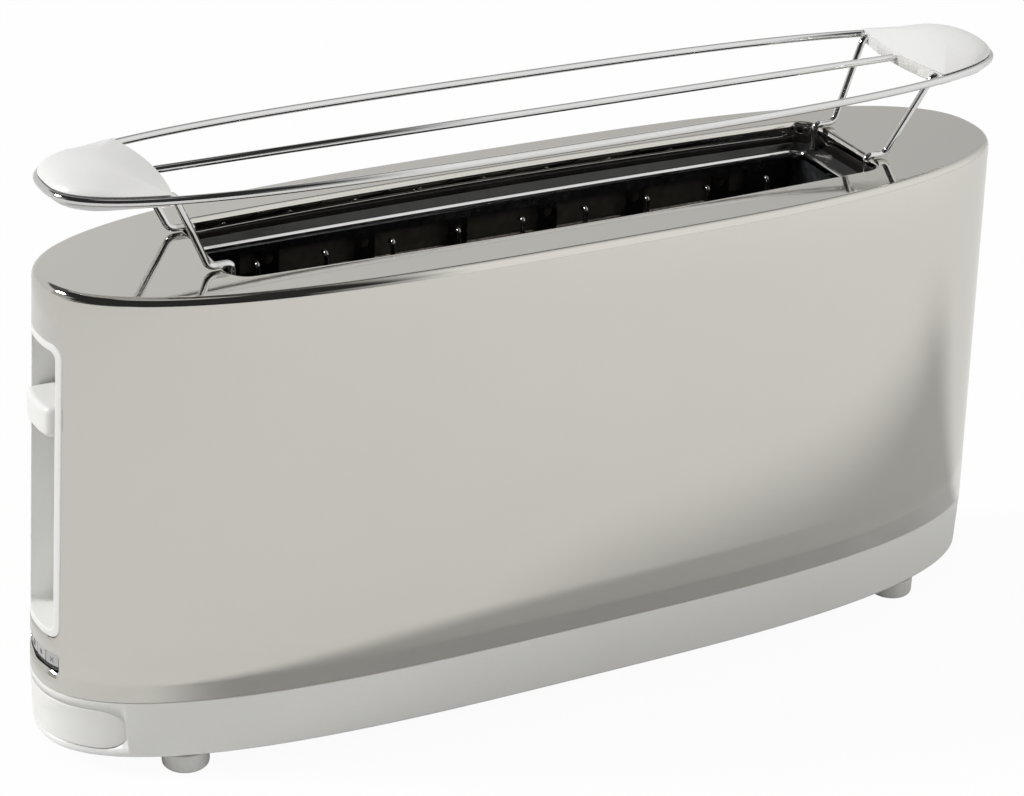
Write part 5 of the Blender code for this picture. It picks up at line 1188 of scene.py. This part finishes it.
    def build_housing(self) -> None:
        """Give the CAD housing of the keys its finish."""
        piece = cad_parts["key_housing"]
        piece.data.materials.clear()
        piece.data.materials.append(DARK.material())

    def build(self) -> None:
        """Make the bezel, the knob, the keys and their housing."""
        self.build_bezel()
        self.build_knob()
        self.build_keys()
        self.build_housing()


@dataclass
class Rack:
    """Warming rack: wire oval, middle wire, two white caps and four legs."""

    half_length: float = 0.1967
    half_width: float = 0.03735
    end_power: float = 3.1
    side_power: float = 2.85
    height: float = 0.2265
    wire: float = 0.0015
    thin_wire: float = 0.0014
    cap_inner: float = 0.157
    cap_sweep: float = 0.0035
    cap_lean: float = 0.6
    rim_up: float = 0.0022
    rim_down: float = 0.0026
    dome: float = 0.0051
    dome_power: float = 2.4
    belly: float = 0.0030
    crown_length: float = 0.019
    crown_width: float = 0.026
    leg_root: Flat = (0.1645, 0.024)
    leg_shoulder: Flat = (0.1582, 0.024)
    leg_foot: Flat = (0.1433, 0.0184)
    leg_hook: Flat = (0.1343, 0.0184)
    hook_low: float = 0.185
    leg_bend: float = 0.0026

    def oval(self, half_length: float, half_width: float, turn: float) -> Flat:
        """Return a point of the rack's oval."""
        across, along = sin(turn), cos(turn)
        return (copysign(abs(along) ** (2 / self.end_power), along) * half_length,
                copysign(abs(across) ** (2 / self.side_power), across) * half_width)

    def build_wires(self) -> None:
        """Make the oval and the straight middle wire."""
        data = bmesh.new()
        steps = 480
        path = [(*self.oval(self.half_length, self.half_width, 2 * pi * i / steps), self.height)
                for i in range(steps)]
        Shape.add_tube(data, path, self.wire, 24, True)
        ride(Shape.mesh("rack_loop_wire", data, CHROME, 60.0), Body.RACK, CHROME, "rack_loop")
        data = bmesh.new()
        reach = self.cap_inner + 0.006
        Shape.add_tube(data,
                       [(-reach, 0.0, self.height), (0.0, 0.0, self.height), (reach, 0.0, self.height)],
                       self.thin_wire, 24)
        ride(Shape.mesh("rack_middle_straight", data, CHROME, 60.0), Body.RACK, CHROME, "rack_middle_wire")

    def cap_outline(self, inset: float) -> list[Flat]:
        """Return the right cap's plan: the oval's end, and an inner edge that bows out a little.

        Args:
            inset: how far the outer edge lies inside the wire's middle line.

        Returns:
            The outline, with the same number of points for any inset.
        """
        half_length, half_width = self.half_length - inset, self.half_width - inset
        corner_x = self.cap_inner + self.cap_sweep
        corner_y = half_width * (1 - (corner_x / half_length) ** self.end_power) ** (1 / self.side_power)
        outline = []
        outer, inner = 72, 40
        for i in range(outer + 1):
            y = corner_y * sin((2 * i / outer - 1) * pi / 2)
            reach = half_length * (1 - abs(y / half_width) ** self.side_power) ** (1 / self.end_power)
            outline.append((reach, y))
        for i in range(1, inner):
            share = 1 - 2 * i / inner
            outline.append((self.cap_inner + self.cap_sweep * share ** 2, corner_y * share))
        return outline

    def build_cap(self, name: str, side: int) -> None:
        """Make one end cap: a body inside the wire, and a shallow dome that lies over the wire.

        Args:
            name: the piece's name.
            side: -1 for the lever end, 1 for the far end.
        """
        middle = self.cap_inner + (self.half_length - self.cap_inner) * self.cap_lean

        def ring(inset: float, scale: float, height: float) -> list[Point]:
            """Return the outline drawn in towards the crown at a height, where it turns into an ellipse."""
            points = []
            soft = 1 - scale ** 3
            for x, y in self.cap_outline(inset):
                away, turn = x - middle, atan2(y / self.crown_width, (x - middle) / self.crown_length)
                away += (self.crown_length * cos(turn) - away) * soft
                y += (self.crown_width * sin(turn) - y) * soft
                points.append((side * (middle + away * scale), side * y * scale, height))
            return points

        inside = self.wire + 0.0003
        lip = self.height + self.wire + 0.0003
        rim = self.height + self.rim_up
        rings = []
        for i in range(12):
            turn = pi / 2 * (1 - i / 12) * 0.985
            rings.append(ring(inside, cos(turn), self.height - self.rim_down - self.belly * sin(turn)))
        rings.append(ring(inside, 1.0, self.height - self.rim_down))
        rings.append(ring(inside, 1.0, lip))
        rings.append(ring(0.0003, 1.0, lip))
        rings.append(ring(0.0, 1.0, lip + 0.0002))
        rings.append(ring(0.0, 1.0, rim))
        steps = 28
        for i in range(1, steps + 1):
            scale = 1 - 0.98 * (i / steps) ** 1.3
            rings.append(ring(0.0, scale, rim + self.dome * (1 - scale ** self.dome_power)))
        data = bmesh.new()
        Shape.add_rings(data, rings, True, True)
        cap = Shape.mesh(name + "_moulded", data, WHITE, 42.0)
        ride(cap, Body.RACK, WHITE, name)

    def build_leg(self, name: str, side_x: int, side_y: int) -> None:
        """Make one leg: out of the cap, down to the deck and hooked into the slot.

        Args:
            name: the piece's name.
            side_x: -1 for the lever end.
            side_y: -1 for the front.
        """
        deck = PLAN.rim + 0.0003 + self.thin_wire
        stops = [(*self.leg_root, self.height), (*self.leg_shoulder, self.height), (*self.leg_foot, deck),
                 (*self.leg_hook, deck), (*self.leg_hook, self.hook_low)]
        data = bmesh.new()
        path = Shape.bent([(side_x * x, side_y * y, z) for x, y, z in stops], self.leg_bend)
        Shape.add_tube(data, path, self.thin_wire, 20)
        ride(Shape.mesh(name + "_wire", data, CHROME, 60.0), Body.RACK, CHROME, name)

    def build(self) -> None:
        """Make the wires, the caps and the legs."""
        self.build_wires()
        for end, side_x in (("left", -1), ("right", 1)):
            self.build_cap("rack_cap_" + end, side_x)
            for face, side_y in (("front", -1), ("back", 1)):
                self.build_leg(f"rack_leg_{end}_{face}", side_x, side_y)


@dataclass
class Guides:
    """The two wire cages that close on the bread."""

    rest_y: float = 0.0138
    pitch: float = 0.02763
    wires: int = 9
    tip: float = 0.1772
    foot: float = 0.0381
    rails: Flat = (0.040, 0.168)
    reach: float = 0.1351
    tip_reach: float = 0.0028
    tip_drop: float = 0.0012
    wire: float = 0.001
    rail_wire: float = 0.0012

    def build(self) -> None:
        """Make both cages."""
        for name, side, body in (("front", -1, Body.GUIDE_FRONT), ("back", 1, Body.GUIDE_BACK)):
            data = bmesh.new()
            y = side * self.rest_y
            for i in range(self.wires):
                x = (i - (self.wires - 1) / 2) * self.pitch
                stops = [(x, y, self.foot), (x, y, self.tip),
                         (x, y + side * self.tip_reach, self.tip - self.tip_drop)]
                Shape.add_tube(data, Shape.bent(stops, 0.002, 8), self.wire, 14)
            beside = y + side * self.rail_wire
            for z in self.rails:
                Shape.add_tube(data, [(-self.reach, beside, z), (self.reach, beside, z)], self.rail_wire, 16)
            cage = Shape.mesh(f"bread_guide_{name}_wires", data, GUIDE_CHROME_PAINTED_SHADE, 60.0)
            ride(cage, body, GUIDE_CHROME_PAINTED_SHADE, f"bread_guide_{name}")


class Insides:
    """Finishes for the CAD nodes that stay."""

    finishes: dict[str, Finish] = {
        "floor_plate": PLATED, "crumb_tray": PLATED, "chassis_end": PLATED, "heat_shield": PLATED,
        "reflector": DARK_SHEET, "heater_board": MICA_WITH_PAINTED_SHADE, "heater_ribbon": HEATER, "bread_lift": CHROME,
        "lift_slider": DARK, "carriage": DARK, "latch_keeper": SPRING, "lever_arm": SPRING,
        "guide_rod": CHROME, "lift_spring": SPRING, "key_board": BOARD, "control_board": BOARD,
        "relay": DARK, "capacitor": DARK, "latch_magnet": COPPER, "terminal_block": WHITE,
        "lead": SLEEVE, "cord_gland": RUBBER, "screw": SPRING,
    }

    def dress(self) -> None:
        """Give each kept node its finish."""
        for name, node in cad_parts.items():
            for start, finish in self.finishes.items():
                if name.startswith(start) and not node.hide_render:
                    node.data.materials.clear()
                    node.data.materials.append(finish.material())
                    log.info("%s keeps its mesh with %s", name, finish.name)


@dataclass
class Studio:
    """Plain pale floor, soft light and the camera of the photograph."""

    lens: float = 104.51
    roll: float = 0.043447
    azimuth: float = -0.50398
    elevation: float = 0.45852
    distance: float = 1.15828
    target: Point = (-0.00794, 0.00213, 0.10737)
    room_light: Colour = (0.42, 0.42, 0.41)
    room_dark: Colour = (0.03, 0.03, 0.03)
    panel_front: Colour = (0.98, 0.98, 0.96)
    panel_back: Colour = (0.64, 0.64, 0.62)
    backdrop_left: Colour = (0.71, 0.71, 0.70)
    backdrop_right: Colour = (0.57, 0.57, 0.56)
    backdrop_top: Colour = (0.10, 0.10, 0.10)
    ceiling: Colour = (0.55, 0.55, 0.54)
    fill_low: Colour = (0.36, 0.357, 0.35)
    fill_high: Colour = (0.54, 0.535, 0.525)

    def camera(self) -> None:
        """Place the camera."""
        data = bpy.data.cameras.new("photo_camera")
        data.lens = self.lens
        data.sensor_width = 36.0
        data.clip_start = 0.01
        data.clip_end = 50.0
        made = bpy.data.objects.new("photo_camera", data)
        bpy.context.scene.collection.objects.link(made)
        back = Vector((sin(self.azimuth) * cos(self.elevation), -cos(self.azimuth) * cos(self.elevation),
                       sin(self.elevation)))
        right = Vector((0, 0, 1)).cross(back).normalized()
        up = back.cross(right)
        level_right, level_up = right, up
        right = level_right * cos(self.roll) + level_up * sin(self.roll)
        up = level_up * cos(self.roll) - level_right * sin(self.roll)
        turn = Matrix((right, up, back)).transposed().to_4x4()
        made.matrix_world = Matrix.Translation(Vector(self.target) + back * self.distance) @ turn
        bpy.context.scene.camera = made

    def lamp(self, name: str, towards: Point, strength: float, softness: float) -> None:
        """Add a soft distant lamp.

        Args:
            name: its name.
            towards: the way from the object to the lamp.
            strength: its level on a face that looks at it, where pi lights white fully.
            softness: how wide it looks from the object, in radians.
        """
        data = bpy.data.lights.new(name, "SUN")
        data.energy = strength
        data.angle = softness
        made = bpy.data.objects.new(name, data)
        made.location = Vector(towards) * 2
        made.rotation_mode = "QUATERNION"
        made.rotation_quaternion = (-Vector(towards)).to_track_quat("-Z", "Y")
        bpy.context.scene.collection.objects.link(made)

    def panel(self, name: str, place: Point, size: float, power: float, aim: Point) -> None:
        """Add a soft square lamp near the object, which metal doesn't mirror.

        Args:
            name: its name.
            place: where it hangs.
            size: its side.
            power: watts.
            aim: what it points at.
        """
        data = bpy.data.lights.new(name, "AREA")
        data.size = size
        data.energy = power
        made = bpy.data.objects.new(name, data)
        made.location = place
        made.rotation_mode = "QUATERNION"
        made.rotation_quaternion = (Vector(aim) - Vector(place)).to_track_quat("-Z", "Y")
        made.visible_glossy = False
        bpy.context.scene.collection.objects.link(made)

    def floor(self) -> None:
        """Make the floor: white to the camera, with a soft shadow that the metal mirrors."""
        bpy.ops.mesh.primitive_plane_add(size=12.0)
        plane = bpy.context.active_object
        plane.name = "floor"
        material = bpy.data.materials.new("pale_floor")
        material.use_nodes = True
        tree = material.node_tree
        tree.nodes.clear()
        board = NodeBoard(tree)
        place = board.add("ShaderNodeTexCoord").outputs["Object"]
        tone = board.blend(board.noise(place, 40.0, 4.0), (0.80, 0.80, 0.79), (0.785, 0.785, 0.775))
        glare = board.put(board.add("ShaderNodeEmission"), Color=(1.0, 1.0, 1.0, 1.0), Strength=1.0)
        matt = board.put(board.add("ShaderNodeBsdfDiffuse"), Color=tone)
        path = board.add("ShaderNodeLightPath")
        clear = board.maths("MAXIMUM", path.outputs["Is Camera Ray"], path.outputs["Is Transmission Ray"])
        share = board.maths("MAXIMUM", board.maths("MULTIPLY", clear, 0.95),
                            board.maths("MULTIPLY", path.outputs["Is Glossy Ray"], 0.04))
        mix = board.add("ShaderNodeMixShader")
        board.link(share, mix.inputs[0])
        board.link(matt.outputs[0], mix.inputs[1])
        board.link(glare.outputs[0], mix.inputs[2])
        result = board.add("ShaderNodeOutputMaterial")
        board.link(mix.outputs[0], result.inputs["Surface"])
        plane.data.materials.append(material)

    def sky(self) -> None:
        """Make the surroundings: white for the camera, a soft studio for metal, and an even fill."""
        world = bpy.data.worlds.new("studio")
        bpy.context.scene.world = world
        world.use_nodes = True
        tree = world.node_tree
        tree.nodes.clear()
        board = NodeBoard(tree)
        way = board.add("ShaderNodeSeparateXYZ")
        board.put(way, Vector=board.add("ShaderNodeTexCoord").outputs["Generated"])
        across, deep, high = way.outputs["X"], way.outputs["Y"], way.outputs["Z"]
        walls = board.span(high, 0.42, 0.52, 1.0, 0.0, True)
        room = board.blend(walls, self.room_dark, self.room_light)
        camera_side = board.maths("MULTIPLY", board.span(deep, 0.0, -0.2), board.span(across, 0.29, 0.15))
        room = board.blend(camera_side, room, self.room_dark)
        panel = board.blend(board.span(deep, -0.2, 0.4), self.panel_front, self.panel_back)
        room = board.blend(board.span(across, 0.29, 0.41, smooth=True), room, panel)
        behind = board.span(deep, 0.38, 0.52, smooth=True)
        above = board.span(high, 0.56, 0.64, smooth=True)
        backdrop = board.blend(board.span(across, 0.30, 0.58), self.backdrop_left, self.backdrop_right)
        room = board.blend(behind, room, board.blend(above, backdrop, self.backdrop_top))
        room = board.blend(board.span(high, 0.975, 0.99, smooth=True), room, self.ceiling)
        path = board.add("ShaderNodeLightPath")
        seen = board.maths("MAXIMUM", path.outputs["Is Camera Ray"], path.outputs["Is Transmission Ray"])
        fill = board.blend(board.span(high, 0.0, 1.0), self.fill_low, self.fill_high)
        colour = board.blend(path.outputs["Is Glossy Ray"], fill, room)
        colour = board.blend(seen, colour, (1.0, 1.0, 1.0))
        light = board.put(board.add("ShaderNodeBackground"), Color=colour, Strength=1.0)
        board.link(light.outputs[0], board.add("ShaderNodeOutputWorld").inputs["Surface"])

    def build(self) -> None:
        """Make the camera, floor, surroundings and lamps."""
        self.camera()
        self.floor()
        self.sky()
        self.lamp("soft_key", (-0.73, 0.32, 0.61), 2.38, 0.24)
        self.panel("soft_fill", (1.2, -0.8, 0.9), 0.9, 4.5, (0.25, -0.15, 0.0))
        scene = bpy.context.scene
        scene.view_settings.view_transform = "Standard"


def main() -> None:
    """Build the studio and every sub-assembly in order, logging each, then dress the kept nodes."""
    logging.basicConfig(level=logging.INFO, format="%(name)s: %(message)s")
    Studio().build()
    log.info("studio: camera, floor and light")
    for assembly in (Casing(), Base(), LeverEnd(), Rack(), Guides()):
        assembly.build()
        log.info("%s built", type(assembly).__name__)
    Insides().dress()


if __name__ == "__main__":
    main()
